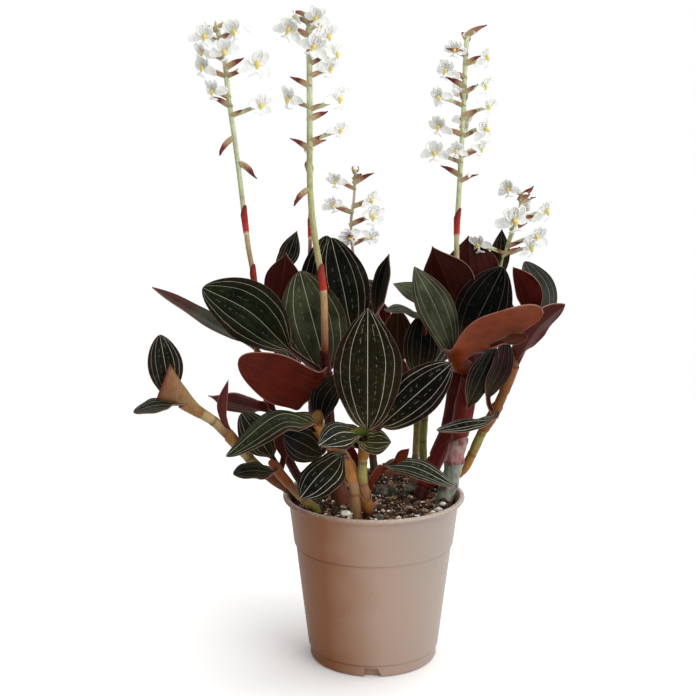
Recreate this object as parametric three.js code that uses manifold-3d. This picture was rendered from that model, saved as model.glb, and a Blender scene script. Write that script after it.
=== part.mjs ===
// Jewel orchid in a 12 cm grower's pot. Millimetres, +Z up, origin at the centre of the pot's foot.
import * as THREE from 'three';
import { mergeVertices } from 'three/addons/utils/BufferGeometryUtils.js';
import Module from 'manifold-3d';

const wasm = await Module();
wasm.setup();

// ---- driving dimensions ----
const POT_HEIGHT = 111;
const RIM_RADIUS = 60;
const RIM_DEPTH = 2.8;
const NECK_RADIUS = 56.3;
const LEDGE_HEIGHT = 78.5;
const LEDGE_STEP = 0.9;
const WAIST_RADIUS = 43.5;
const FOOT_RADIUS = 42.4;
const FOOT_HEIGHT = 8;
const WALL = 1.5;
const FLOOR_TOP = 7;
const FLOOR_CORNER = 5;
const FOOT_RING = 2.6;
const ROUND = 1;
const PAD_RADIUS = 15;
const POT_SIDES = 32;

const DRAIN_HOLES = 6;
const DRAIN_HOLE_RADIUS = 3.5;
const DRAIN_CIRCLE = 26;
const HOLE_SIDES = 8;
const NOTCHES = 4;
const NOTCH_WIDTH = 12;
const NOTCH_HEIGHT = 5;
const FIRST_NOTCH = -97;

const SOIL_TOP = 104.5;
const SOIL_CROWN = 2;
const SOIL_EDGE = 1.5;
const SOIL_RELIEF = 1.6;
const SOIL_RINGS = [0.86, 0.64, 0.37, 0];
const SOIL_SIDES = 26;
const STEM_FOOT = 84;
const STEM_STEP = 12;
const STEM_CLEARANCE = 1;
const STEM_SIDES = 7;
const STALK_STEP = 24;
const GAP = 0.3;

const BLADE = 0.8;
const PETIOLE_WIDTH = 3;
const PETIOLE_DEPTH = 2.4;
const LEAF_STATIONS = [-0.5, 0, 0.16, 0.38, 0.62, 0.84, 1];
const LEAF_SKEW = 0.86;
const LEAF_FULLNESS = 0.75;
const LEAF_TIP = 1;

const STALK_SIDES = 6;
const STALK_SAMPLES = 80;
const SHEATH_LENGTH = 14;
const SHEATH_ROOT = 0.9;
const SHEATH_MOUTH = 0.4;
const PETAL = 0.7;
const OVARY = 0.9;
const OVARY_TAPER = 0.8;
const FLOWER_SPAN = 15;
const FLOWER_RISE = 0.35;
const FLOWER_NOD = -0.15;
const BUD_RISE = 0.7;
const BUD_RADIUS = 2.1;
const BUD_WIDEST = 0.65;
const BUD_SIDES = 5;
const BRACT_LENGTH = 11;
const BRACT_WIDTH = 4.4;
const BRACT_SLOPE = 0.75;

// The side the flowers turn to, and how far they turn, in degrees.
const LIGHT_SIDE = -90;
const FLOWER_TURN = 55;
const DEGREE = Math.PI / 180;

// ---- colours ----
const plastic = new THREE.MeshStandardMaterial({ color: '#a68d7d', roughness: 0.55, metalness: 0 });
const bark = new THREE.MeshStandardMaterial({ color: '#1e1512', roughness: 0.95, metalness: 0 });
const foliage = new THREE.MeshStandardMaterial({ color: '#232a1b', roughness: 0.5, metalness: 0 });

// ---- joining and cutting ----
function solidOf(geometry) {
  const bare = new THREE.BufferGeometry();
  bare.setAttribute('position', geometry.attributes.position.clone());
  if (geometry.index) bare.setIndex(geometry.index.clone());
  const welded = mergeVertices(bare, 1e-4);
  return new wasm.Manifold(new wasm.Mesh({
    numProp: 3,
    vertProperties: new Float32Array(welded.attributes.position.array),
    triVerts: new Uint32Array(welded.index.array),
  }));
}

function geometryOf(solid) {
  const mesh = solid.getMesh();
  const geometry = new THREE.BufferGeometry();
  geometry.setAttribute('position', new THREE.BufferAttribute(new Float32Array(mesh.vertProperties), 3));
  geometry.setIndex(new THREE.BufferAttribute(new Uint32Array(mesh.triVerts), 1));
  geometry.computeVertexNormals();
  return geometry;
}

const vec = (xyz) => new THREE.Vector3(...xyz);
const join = (solids) => solids.reduce((sum, solid) => sum.add(solid));

// An upright cylinder between two heights, for holes.
function hole(radius, x, y, low, high) {
  const cylinder = new THREE.CylinderGeometry(radius, radius, high - low, HOLE_SIDES);
  cylinder.rotateX(Math.PI / 2);
  cylinder.translate(x, y, (low + high) / 2);
  return cylinder;
}

// A lathe's axis is Y, so the turned shape is laid over to stand along Z.
function turned(profile, sides) {
  const lathe = new THREE.LatheGeometry(profile.map(([r, z]) => new THREE.Vector2(r, z)), sides);
  lathe.rotateX(Math.PI / 2);
  return lathe;
}

// ---- pot: a thin moulded wall with a flat lip, a ledge, a foot ring and a raised floor ----
function wallRadius(z) {
  const rise = (z - FOOT_HEIGHT) / (POT_HEIGHT - RIM_DEPTH - FOOT_HEIGHT);
  const straight = WAIST_RADIUS + rise * (NECK_RADIUS - LEDGE_STEP - WAIST_RADIUS);
  return z > LEDGE_HEIGHT ? straight + LEDGE_STEP : straight;
}

function potGeometry() {
  const neck = POT_HEIGHT - RIM_DEPTH;
  const [ledge, shoulder] = [LEDGE_HEIGHT, LEDGE_HEIGHT + ROUND];
  const ring = FOOT_RADIUS - ROUND - FOOT_RING;
  const outside = [
    [FOOT_RADIUS - ROUND, 0], [FOOT_RADIUS, ROUND], [FOOT_RADIUS, FOOT_HEIGHT - ROUND / 2],
    [WAIST_RADIUS, FOOT_HEIGHT + ROUND / 2], [wallRadius(ledge), ledge], [wallRadius(shoulder), shoulder],
    [NECK_RADIUS, neck], [RIM_RADIUS - ROUND / 2, neck], [RIM_RADIUS, neck + ROUND],
    [RIM_RADIUS, POT_HEIGHT - ROUND], [RIM_RADIUS - ROUND, POT_HEIGHT], [RIM_RADIUS - 2 * WALL, POT_HEIGHT],
  ];
  const inside = [
    [NECK_RADIUS - WALL, neck - ROUND], [wallRadius(shoulder) - WALL, shoulder],
    [wallRadius(ledge) - WALL, ledge],
    [wallRadius(FLOOR_TOP + FLOOR_CORNER) - WALL, FLOOR_TOP + FLOOR_CORNER],
    [wallRadius(FLOOR_TOP) - WALL - FLOOR_CORNER / 2, FLOOR_TOP],
  ];
  const underside = [
    [0, FLOOR_TOP], [0, 0], [PAD_RADIUS, 0], [PAD_RADIUS + 2 * ROUND, FLOOR_TOP - WALL],
    [ring - ROUND, FLOOR_TOP - WALL], [ring, 0],
  ];
  let pot = solidOf(turned([...underside, ...outside, ...inside, [0, FLOOR_TOP]], POT_SIDES));
  for (let i = 0; i < DRAIN_HOLES; i += 1) {
    const angle = (i * 360 / DRAIN_HOLES) * DEGREE;
    const [x, y] = [DRAIN_CIRCLE * Math.cos(angle), DRAIN_CIRCLE * Math.sin(angle)];
    pot = pot.subtract(solidOf(hole(DRAIN_HOLE_RADIUS, x, y, 0, 2 * FLOOR_TOP)));
  }
  for (let i = 0; i < NOTCHES; i += 1) {
    const notch = new THREE.BoxGeometry(2 * FOOT_RING + 2 * ROUND, NOTCH_WIDTH, 2 * NOTCH_HEIGHT);
    notch.translate(FOOT_RADIUS - FOOT_RING / 2, 0, 0);
    notch.rotateZ((FIRST_NOTCH + i * 360 / NOTCHES) * DEGREE);
    pot = pot.subtract(solidOf(notch));
  }
  return geometryOf(pot);
}

// ---- soil: bark mix that fills the pot, lumpy on top, with a plain hole for each stem ----
function soilRelief(x, y) {
  const lumps = Math.sin(0.31 * x + 0.5) * Math.cos(0.27 * y);
  const crumbs = Math.sin(0.63 * x - 0.55 * y);
  return SOIL_RELIEF * (lumps + 0.6 * crumbs);
}

function soilGeometry(stems) {
  const side = (z) => wallRadius(z) - WALL - GAP;
  const edge = SOIL_TOP - SOIL_EDGE;
  const top = SOIL_RINGS.map((share) => [share * side(edge), SOIL_TOP + SOIL_CROWN * (1 - share)]);
  const body = turned([
    [0, FLOOR_TOP + GAP], [side(FLOOR_TOP) - FLOOR_CORNER / 2, FLOOR_TOP + GAP],
    [side(FLOOR_TOP + FLOOR_CORNER), FLOOR_TOP + FLOOR_CORNER + GAP],
    [side(LEDGE_HEIGHT), LEDGE_HEIGHT], [side(LEDGE_HEIGHT), LEDGE_HEIGHT + ROUND + GAP],
    [side(edge), edge], ...top,
  ], SOIL_SIDES);
  const points = body.attributes.position;
  for (let i = 0; i < points.count; i += 1) {
    if (points.getZ(i) > SOIL_TOP - ROUND) {
      points.setZ(i, points.getZ(i) + soilRelief(points.getX(i), points.getY(i)));
    }
  }
  let soil = solidOf(body);
  for (const { foot: [x, y], radius } of stems) {
    soil = soil.subtract(solidOf(hole(radius + STEM_CLEARANCE, x, y, STEM_FOOT - GAP, 2 * POT_HEIGHT)));
  }
  return geometryOf(soil);
}

// ---- plant forms ----
// A round rod along a smooth route.
function rod(route, radius, sides, step) {
  const ring = [];
  for (let i = 0; i < sides; i += 1) {
    const angle = (i / sides) * 2 * Math.PI;
    ring.push(new THREE.Vector2(radius * Math.cos(angle), radius * Math.sin(angle)));
  }
  return solidOf(new THREE.ExtrudeGeometry(new THREE.Shape(ring), {
    steps: Math.round(route.getLength() / step), extrudePath: route, bevelEnabled: false,
  }));
}

const route = (points) => new THREE.CatmullRomCurve3(points.map(vec), false, 'catmullrom', 0.5);

// A thin closed blade. Each row holds its points from one edge to the other, its normal and its
// thickness. Both faces are split alike, so that they never cross.
function blade(rows) {
  const columns = rows[0].points.length;
  const position = [];
  const index = [];
  for (const side of [0.5, -0.5]) {
    for (const { points, normal, thick } of rows) {
      for (const point of points) {
        position.push(...point.clone().addScaledVector(normal, side * thick).toArray());
      }
    }
  }
  const under = rows.length * columns;
  const at = (row, column) => row * columns + column;
  const quad = (a, b, c, d) => index.push(a, b, c, a, c, d);
  for (let row = 0; row + 1 < rows.length; row += 1) {
    for (let column = 0; column + 1 < columns; column += 1) {
      const [a, b] = [at(row, column), at(row, column + 1)];
      const [c, d] = [at(row + 1, column + 1), at(row + 1, column)];
      index.push(a, b, c, a, c, d);
      index.push(under + a, under + c, under + b, under + a, under + d, under + c);
    }
    const [left, leftNext] = [at(row, 0), at(row + 1, 0)];
    const [right, rightNext] = [at(row, columns - 1), at(row + 1, columns - 1)];
    quad(under + left, left, leftNext, under + leftNext);
    quad(right, under + right, under + rightNext, rightNext);
  }
  const last = rows.length - 1;
  for (let column = 0; column + 1 < columns; column += 1) {
    quad(under + at(0, column), under + at(0, column + 1), at(0, column + 1), at(0, column));
    quad(at(last, column), at(last, column + 1), under + at(last, column + 1), under + at(last, column));
  }
  const geometry = new THREE.BufferGeometry();
  geometry.setAttribute('position', new THREE.Float32BufferAttribute(position, 3));
  geometry.setIndex(index);
  return solidOf(geometry);
}

// A leaf on its short petiole. Its root is in the stem, its face is the way the upper side looks,
// bow and sway bend its midrib out that way and sideways, and fold lifts its edges.
function leaf({ root, base, tip, face, width, bow = 0, sway = 0, fold = 0.12 }) {
  const facing = vec(face).normalize();
  const sideways = new THREE.Vector3().crossVectors(vec(tip).sub(vec(base)).normalize(), facing);
  const middle = vec(base).lerp(vec(tip), 0.5).addScaledVector(facing, bow).addScaledVector(sideways, sway);
  const midrib = route([root, base, middle.toArray(), tip]);
  const rows = LEAF_STATIONS.map((s) => {
    const t = (1 + 2 * s) / 3;
    const along = midrib.getTangent(t);
    const normal = facing.clone().addScaledVector(along, -facing.dot(along)).normalize();
    const across = new THREE.Vector3().crossVectors(along, normal);
    const outline = s > 0 && s < 1 ? Math.sin(Math.PI * s ** LEAF_SKEW) ** LEAF_FULLNESS : 0;
    const slim = s < 0.5 ? PETIOLE_WIDTH : LEAF_TIP;
    const half = Math.max(width * outline, slim) / 2;
    const centre = midrib.getPoint(t);
    const edge = (side) => centre.clone().addScaledVector(across, side * half)
      .addScaledVector(normal, fold * half);
    return {
      points: [edge(-1), centre, edge(1)],
      normal,
      thick: s <= 0 ? PETIOLE_DEPTH : BLADE,
    };
  });
  return blade(rows);
}

// A small pointed bract that stands off a stalk, widest at its root.
function bract(from, outward) {
  const up = new THREE.Vector3(0, 0, 1);
  const along = outward.clone().multiplyScalar(BRACT_SLOPE).add(up).normalize();
  const across = new THREE.Vector3().crossVectors(up, outward).normalize();
  const normal = new THREE.Vector3().crossVectors(across, along);
  const row = (s, half) => {
    const centre = from.clone().addScaledVector(along, s * BRACT_LENGTH);
    return {
      points: [centre.clone().addScaledVector(across, -half), centre.clone().addScaledVector(across, half)],
      normal,
      thick: PETAL,
    };
  };
  return blade([row(0, BRACT_WIDTH / 2), row(1, PETAL / 2)]);
}

// The outline of an open flower, seen from the front: hood, side sepals and a two-lobed lip.
// Each point is across, up and forward of the flower's heart, for a flower of FLOWER_SPAN.
const FLOWER_OUTLINE = [
  [2.4, 2.2, 0.4], [3.2, 4.8, 1.6], [0, 7.2, 3.4], [-3.2, 4.8, 1.6], [-2.4, 2.2, 0.4],
  [-6, 3, -0.6], [-8, 0.2, -1.4], [-1.9, -1.9, 0.6],
  [-3.4, -6.2, 2.2], [0, -4.6, 2.8], [3.4, -6.2, 2.2],
  [1.9, -1.9, 0.6], [8, 0.2, -1.4], [6, 3, -0.6],
];

// An open flower on its ovary, as one body: the petals' back face closes round a four-sided ovary
// that runs back to the stalk.
function flower(foot, heart, outward, size) {
  const scale = size / FLOWER_SPAN;
  const up = new THREE.Vector3(0, 0, 1).addScaledVector(outward, -outward.z).normalize();
  const across = new THREE.Vector3().crossVectors(up, outward);
  const place = (origin, x, y, z) => origin.clone().addScaledVector(across, x)
    .addScaledVector(up, y).addScaledVector(outward, z);
  const ring = FLOWER_OUTLINE.map(([x, y, z]) => place(heart, x * scale, y * scale, z * scale));
  const count = ring.length;
  const corners = [[1, 1], [-1, 1], [-1, -1], [1, -1]];
  const neck = corners.map(([x, y]) => place(heart, x * OVARY, y * OVARY, -PETAL));
  const root = corners.map(([x, y]) => place(foot, x * OVARY * OVARY_TAPER, y * OVARY * OVARY_TAPER, 0));
  const face = (side) => ring.map((p) => p.clone().addScaledVector(outward, (side * PETAL) / 2));
  const points = [place(heart, 0, 0, PETAL / 2), ...face(1), ...face(-1), ...neck, ...root];
  const [front, back] = [1, 1 + count];
  const [necks, roots] = [1 + 2 * count, 5 + 2 * count];
  const index = [];
  // The corner of the ovary that each stretch of the outline closes to.
  const cornerOf = (i) => {
    const [x, y] = FLOWER_OUTLINE[i];
    return corners.reduce((best, c, k) => (
      c[0] * x + c[1] * y > corners[best][0] * x + corners[best][1] * y ? k : best), 0);
  };
  for (let i = 0; i < count; i += 1) {
    const next = (i + 1) % count;
    index.push(0, front + i, front + next);
    index.push(front + i, back + i, back + next, front + i, back + next, front + next);
    const [here, there] = [cornerOf(i), cornerOf(next)];
    index.push(back + i, necks + here, back + next);
    if (here !== there) index.push(back + next, necks + here, necks + there);
  }
  for (let k = 0; k < 4; k += 1) {
    const next = (k + 1) % 4;
    index.push(necks + k, roots + k, roots + next, necks + k, roots + next, necks + next);
  }
  index.push(roots, roots + 2, roots + 1, roots, roots + 3, roots + 2);
  const geometry = new THREE.BufferGeometry();
  const position = points.flatMap((p) => p.toArray());
  geometry.setAttribute('position', new THREE.Float32BufferAttribute(position, 3));
  geometry.setIndex(index);
  return solidOf(geometry);
}

// A stem stands upright in its hole and bends only above the soil.
function stemRoute({ foot: [x, y], stem }) {
  const upright = [0, 1, 2].map((step) => [x, y, STEM_FOOT + step * STEM_STEP]);
  return route([...upright, ...stem]);
}

// A turned form between two points, such as a bud or a sheath: its profile is length and radius.
function spindle(from, to, profile, sides) {
  const length = from.distanceTo(to);
  const form = new THREE.LatheGeometry(profile.map(([s, r]) => new THREE.Vector2(r, s * length)), sides);
  const along = to.clone().sub(from).normalize();
  form.applyQuaternion(new THREE.Quaternion().setFromUnitVectors(new THREE.Vector3(0, 1, 0), along));
  form.translate(from.x, from.y, from.z);
  return solidOf(form);
}

// The point of a stalk at a height.
function pointAt(stalk, height) {
  const away = (p) => Math.abs(p.z - height);
  return stalk.getPoints(STALK_SAMPLES).reduce((near, p) => (away(p) < away(near) ? p : near));
}

// An upright flower spike: its stalk, sheaths lower down, and flowers, buds and bracts above.
function spike({ stalk, stalkRadius, sheaths = [], flowers = [], buds = [], bracts = [] }) {
  const line = route(stalk);
  const solids = [rod(line, stalkRadius, STALK_SIDES, STALK_STEP)];
  const outwardOf = (azimuth, rise) => (
    new THREE.Vector3(Math.cos(azimuth * DEGREE), Math.sin(azimuth * DEGREE), rise).normalize()
  );
  const towardsLight = (azimuth) => {
    const away = ((azimuth - LIGHT_SIDE + 540) % 360) - 180;
    return azimuth - Math.max(-FLOWER_TURN, Math.min(FLOWER_TURN, away));
  };
  const sheath = [[0, 0], [0, stalkRadius + SHEATH_ROOT], [1, stalkRadius + SHEATH_MOUTH], [1, 0]];
  for (const height of sheaths) {
    const [from, to] = [pointAt(line, height), pointAt(line, height + SHEATH_LENGTH)];
    solids.push(spindle(from, to, sheath, STALK_SIDES));
  }
  for (const [height, azimuth, reach, size] of flowers) {
    const foot = pointAt(line, height);
    const heart = foot.clone().addScaledVector(outwardOf(azimuth, FLOWER_RISE), reach);
    solids.push(flower(foot, heart, outwardOf(towardsLight(azimuth), FLOWER_NOD), size));
  }
  for (const [height, azimuth, reach] of buds) {
    const foot = pointAt(line, height);
    const tip = foot.clone().addScaledVector(outwardOf(azimuth, BUD_RISE), reach);
    solids.push(spindle(foot, tip, [[0, 0], [BUD_WIDEST, BUD_RADIUS], [1, 0]], BUD_SIDES));
  }
  for (const [height, azimuth] of bracts) {
    solids.push(bract(pointAt(line, height), outwardOf(azimuth, 0)));
  }
  return solids;
}

// ---- the shoots, from left to right: foot and stem, leaves, and the spike if it has one ----
// A flower is height, direction round the stalk in degrees (-90 is the front), reach and size. A bud
// is height, direction and reach, and a bract is height and direction.
const shoots = [
  {
    name: 'shoot_low_left',
    radius: 3.2,
    foot: [-47, 4],
    stem: [[-55, -5, 119], [-83, -16, 144], [-101, -20, 163], [-120, -26, 177]],
    leaves: [
      {
        root: [-118, -26, 176], base: [-129, -25, 182], tip: [-136, -18, 220],
        face: [0.2, -1, 0.3], width: 23,
      },
      {
        root: [-118, -26, 176], base: [-126, -29, 177], tip: [-151, -36, 174],
        face: [0, -0.35, 1], width: 18, bow: 2,
      },
      {
        root: [-117, -27, 174], base: [-124, -34, 172], tip: [-129, -31, 206],
        face: [0.5, -0.6, 0.3], width: 19, fold: 0.6,
      },
      { root: [-92, -18, 154], base: [-96, -22, 168], tip: [-94, -24, 194], face: [0.1, 1, 0], width: 8 },
    ],
  },
  {
    name: 'shoot_left',
    radius: 3,
    foot: [-37, -30],
    stem: [[-46, -35, 118], [-59, -32, 132], [-65, -29, 140]],
    leaves: [
      {
        root: [-62, -30, 136], base: [-66, -40, 136], tip: [-89, -50, 139],
        face: [0, -0.35, 1], width: 18, bow: 2,
      },
      {
        root: [-61, -30, 135], base: [-66, -22, 141], tip: [-85, -16, 173],
        face: [0.4, -0.9, 0.5], width: 23,
      },
      { root: [-60, -29, 134], base: [-58, -24, 142], tip: [-58, -20, 163], face: [0, 1, 0.2], width: 13 },
    ],
  },
  {
    name: 'shoot_front_left',
    radius: 3.3,
    foot: [-12, -41],
    stem: [[-13, -44, 130], [-20, -43, 148], [-30, -40, 158], [-35, -37, 167]],
    leaves: [
      {
        root: [-33, -38, 163], base: [-42, -36, 171], tip: [-92, -56, 151],
        face: [-0.1, -0.3, 1], width: 31, bow: 9, fold: -0.2,
      },
      {
        root: [-16, -43, 143], base: [-20, -48, 150], tip: [-46, -68, 129],
        face: [-0.4, -0.65, 0.7], width: 30, bow: 3, fold: -0.15,
      },
      {
        root: [-30, -40, 158], base: [-36, -42, 160], tip: [-54, -46, 140],
        face: [-0.3, -0.8, 0.5], width: 18,
      },
      {
        root: [-33, -38, 162], base: [-37, -30, 164], tip: [-37, -28, 181],
        face: [-0.3, -1, 0], width: 10, fold: 0.6,
      },
    ],
  },
  {
    name: 'shoot_front',
    radius: 3.1,
    foot: [-1, -37],
    stem: [[-3, -43, 116], [-8, -46, 136], [-7, -46, 155], [-6, -45, 166]],
    leaves: [
      { root: [-6, -45, 160], base: [-5, -47, 169], tip: [-5, -50, 242], face: [0, -1, 0.12], width: 43 },
      { root: [-6, -45, 161], base: [4, -46, 172], tip: [46, -50, 208], face: [0.2, -0.85, 0.5], width: 25 },
      {
        root: [-7, -46, 158], base: [-14, -52, 162], tip: [-34, -63, 160],
        face: [-0.2, -0.6, 0.75], width: 19, bow: 3,
      },
      {
        root: [-6, -46, 159], base: [-6, -54, 161], tip: [8, -64, 162],
        face: [-0.2, -0.5, 0.85], width: 15, bow: 2, fold: 0.45,
      },
    ],
  },
  {
    name: 'shoot_centre_left',
    radius: 3.2,
    foot: [-40, 12],
    stem: [[-52, 14, 120], [-64, 16, 148], [-72, 16, 178], [-77, 14, 205]],
    leaves: [
      {
        root: [-76, 15, 196], base: [-80, 20, 204], tip: [-145, 14, 246],
        face: [0.1, -0.2, 1], width: 15, fold: 0.3,
      },
      { root: [-67, 16, 160], base: [-72, 0, 168], tip: [-107, -12, 181], face: [0, 0.6, 0.8], width: 22 },
    ],
    stalkRadius: 1.9,
    stalk: [
      [-77, 14, 202], [-78, 12, 248], [-82, 10, 277], [-87, 6, 327], [-92, 4, 368],
      [-94, 2, 390], [-99, 0, 414],
    ],
    sheaths: [243, 281],
    flowers: [
      [400, 200, 11, 14], [403, -30, 12, 14], [392, -80, 9, 14], [390, 170, 14, 13], [380, 195, 15, 14],
      [380, -18, 21, 17], [367, 200, 10, 13], [356, -10, 19, 14],
    ],
    buds: [[410, 20, 10], [408, 170, 10]],
    bracts: [[344, 180], [328, -10], [384, 0], [360, 190]],
  },
  {
    name: 'shoot_centre',
    radius: 3.6,
    foot: [-22, -6],
    stem: [[-26, -4, 130], [-29, -3, 160], [-31, -4, 190], [-32, -6, 210]],
    leaves: [
      { root: [-30, -2, 186], base: [-31, 5, 191], tip: [-48, 3, 258], face: [-0.1, -1, 0.15], width: 43 },
      {
        root: [-32, -5, 176], base: [-36, -12, 181], tip: [-87, -20, 203],
        face: [-0.1, 0.9, 0.35], width: 38, bow: -3,
      },
      {
        root: [-32, -3, 192], base: [-55, 2, 207], tip: [-110, -2, 248],
        face: [-0.1, -1, 0.35], width: 37, bow: 2, sway: 5,
      },
    ],
    stalkRadius: 2.3,
    stalk: [
      [-32, -6, 206], [-32, -7, 225], [-33, -6, 250], [-38, -3, 280], [-41, 0, 312],
      [-41, 0, 360], [-41, 0, 420],
    ],
    sheaths: [245],
    flowers: [
      [404, 190, 13, 15], [400, -20, 13, 15], [394, -70, 9, 15], [388, -10, 17, 14], [380, 5, 13, 13],
      [362, 185, 13, 15], [360, -10, 19, 15], [340, -5, 20, 11], [411, -60, 10, 12], [412, 150, 10, 12],
      [408, 60, 12, 12],
    ],
    buds: [[416, -20, 8], [417, 160, 7]],
    bracts: [[372, 180], [334, 190], [302, 185], [352, 20]],
  },
  {
    name: 'shoot_back_left',
    radius: 2.7,
    foot: [-34, 32],
    stem: [[-38, 34, 130], [-42, 36, 180], [-43, 36, 225]],
    leaves: [
      { root: [-43, 36, 216], base: [-56, 40, 236], tip: [-50, 44, 281], face: [-0.2, -1, 0.1], width: 21 },
      { root: [-42, 35, 205], base: [-57, 30, 226], tip: [-59, 26, 268], face: [0.1, 1, 0], width: 24 },
      { root: [-42, 34, 208], base: [-36, 28, 222], tip: [-31, 32, 278], face: [0.1, -1, 0.1], width: 30 },
      {
        root: [-41, 35, 170], base: [-52, 44, 186], tip: [-78, 64, 216],
        face: [-0.5, 0.4, 0.8], width: 32, bow: 3,
      },
      {
        root: [-40, 35, 160], base: [-36, 48, 176], tip: [-28, 80, 204],
        face: [0, 0.5, 0.8], width: 32, bow: 3,
      },
    ],
    stalkRadius: 1.5,
    stalk: [[-43, 36, 222], [-43, 35, 250], [-42, 33, 280], [-42, 30, 310], [-43, 27, 338]],
    sheaths: [276],
    flowers: [[326, 185, 10, 11], [332, 60, 9, 11]],
    buds: [[335, 140, 8], [336, 0, 7]],
    bracts: [[318, 0]],
  },
  {
    name: 'shoot_middle_back',
    radius: 2.4,
    foot: [28, 34],
    stem: [[30, 34, 138], [29, 33, 165], [18, 31, 195], [2, 30, 222], [-8, 32, 240]],
    leaves: [
      { root: [21, 32, 190], base: [16, 24, 192], tip: [16, 22, 230], face: [0, 1, 0.1], width: 21 },
      { root: [0, 30, 224], base: [2, 22, 228], tip: [10, 22, 267], face: [-0.8, -0.6, 0.1], width: 17 },
      { root: [-4, 31, 232], base: [-13, 22, 214], tip: [-28, 18, 278], face: [0, -1, 0.15], width: 35 },
      {
        root: [6, 30, 216], base: [2, 46, 222], tip: [-14, 76, 244],
        face: [-0.1, -0.2, 1], width: 30, bow: 3,
      },
      {
        root: [27, 33, 172], base: [34, 48, 182], tip: [46, 78, 200],
        face: [0.2, 0.4, 0.9], width: 30, bow: 3,
      },
    ],
    stalkRadius: 1.3,
    stalk: [[-8, 32, 238], [-13, 33, 262], [-15, 33, 285], [-13, 34, 303], [-12, 34, 322]],
    flowers: [
      [309, 180, 12, 11], [310, -20, 8, 9], [297, 0, 11, 12], [293, 190, 13, 11], [284, 200, 5, 12],
      [285, -10, 14, 15], [275, -100, 5, 12], [272, 0, 13, 10],
    ],
    buds: [[315, -60, 8], [319, 90, 7]],
  },
  {
    name: 'shoot_middle',
    radius: 2.4,
    foot: [35, 20],
    stem: [[35, 27, 137], [37, 22, 165], [36, 14, 184], [32, 8, 199]],
    leaves: [
      { root: [34, 11, 191], base: [30, 14, 197], tip: [32, 12, 228], face: [0.1, -1, 0.1], width: 24 },
      {
        root: [32, 9, 197], base: [31, 2, 224], tip: [6, -4, 234],
        face: [0, -0.2, 1], width: 16, bow: 7, fold: -0.2,
      },
    ],
  },
  {
    name: 'shoot_right',
    radius: 4.4,
    foot: [31, 3],
    stem: [[34, 7, 116], [43, 11, 134], [51, 12, 154], [55, 13, 180], [57, 15, 210]],
    leaves: [
      { root: [55, 13, 192], base: [49, -6, 210], tip: [25, -16, 264], face: [-0.3, -0.95, 0.2], width: 24 },
      { root: [56, 13, 206], base: [44, 6, 236], tip: [12, 2, 250], face: [0.1, -0.8, 0.5], width: 14 },
      { root: [57, 15, 206], base: [57, 14, 232], tip: [34, 4, 273], face: [0.2, 1, -0.1], width: 33 },
      { root: [56, 12, 196], base: [58, 4, 208], tip: [81, 6, 259], face: [-0.2, -1, 0.2], width: 36 },
    ],
    stalkRadius: 1.9,
    stalk: [
      [57, 15, 206], [55, 18, 240], [54, 20, 280], [55, 20, 306], [57, 20, 355], [58, 20, 398], [60, 20, 409],
    ],
    sheaths: [278],
    flowers: [
      [394, 200, 8, 11], [388, -10, 14, 13], [380, 190, 13, 13], [370, -5, 13, 13], [362, 185, 16, 12],
      [356, -10, 16, 12], [344, 190, 16, 14], [343, 0, 16, 14], [330, -10, 13, 11],
      [326, 185, 18, 14], [332, -120, 8, 11], [366, 90, 12, 13], [348, 80, 12, 13],
    ],
    buds: [[403, 100, 8], [406, -30, 8], [314, -10, 11]],
    bracts: [[316, 180], [372, 180], [352, 20]],
  },
  {
    name: 'shoot_right_sheathed',
    radius: 4.8,
    foot: [45, -13],
    stem: [[50, -10, 124], [55, -8, 149], [59, -5, 172], [64, 4, 194], [70, 22, 222]],
    leaves: [
      {
        root: [61, -2, 182], base: [54, -12, 199], tip: [98, -44, 246],
        face: [-0.3, 0.8, 0.6], width: 38, bow: -4, sway: -5,
      },
      { root: [66, 10, 202], base: [66, 24, 238], tip: [63, 28, 278], face: [0, 1, 0], width: 34 },
      { root: [69, 18, 214], base: [79, 30, 242], tip: [85, 34, 283], face: [-0.1, -1, 0], width: 15 },
      { root: [58, -4, 165], base: [62, -10, 172], tip: [79, -16, 212], face: [0.4, -0.9, 0.2], width: 18 },
      {
        root: [66, 8, 200], base: [74, 34, 214], tip: [88, 70, 230],
        face: [0.2, 0.3, 0.9], width: 32, bow: 3,
      },
    ],
    stalkRadius: 1.7,
    stalk: [[70, 22, 218], [74, 28, 228], [84, 32, 256], [91, 32, 278], [96, 32, 292], [98, 32, 306]],
    sheaths: [226],
    flowers: [
      [305, 170, 9, 13], [288, -10, 20, 15], [286, -110, 6, 19], [271, -15, 20, 13], [264, -5, 18, 14],
      [266, 200, 20, 13], [292, 60, 10, 12],
    ],
    buds: [[300, 20, 9], [302, -60, 7]],
    bracts: [[280, 0]],
  },
  {
    name: 'shoot_far_right',
    radius: 3,
    foot: [46, 12],
    stem: [
      [53, 9, 118], [60, 7, 125], [65, 4, 136], [71, 0, 152], [78, -4, 166], [84, -5, 180], [91, -6, 202],
    ],
    leaves: [
      {
        root: [87, -5, 192], base: [94, -6, 207], tip: [120, -10, 238],
        face: [-0.4, 0.8, 0.6], width: 23, bow: -2, fold: 0.35,
      },
      {
        root: [87, -6, 190], base: [102, 5, 218], tip: [94, 2, 262],
        face: [0.5, -0.85, 0.1], width: 27, fold: 0.3,
      },
      { root: [79, -4, 166], base: [85, -6, 180], tip: [84, -3, 214], face: [0.5, -0.9, 0.1], width: 16 },
      {
        root: [80, -5, 168], base: [76, -14, 164], tip: [39, -30, 161],
        face: [0.1, -0.4, 1], width: 13, bow: 2, fold: -0.3,
      },
    ],
  },
  {
    name: 'shoot_back',
    radius: 2.8,
    foot: [2, 40],
    stem: [[0, 46, 125], [-3, 50, 155], [-4, 52, 180]],
    leaves: [
      {
        root: [-3, 50, 158], base: [-14, 60, 164], tip: [-48, 86, 170],
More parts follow.
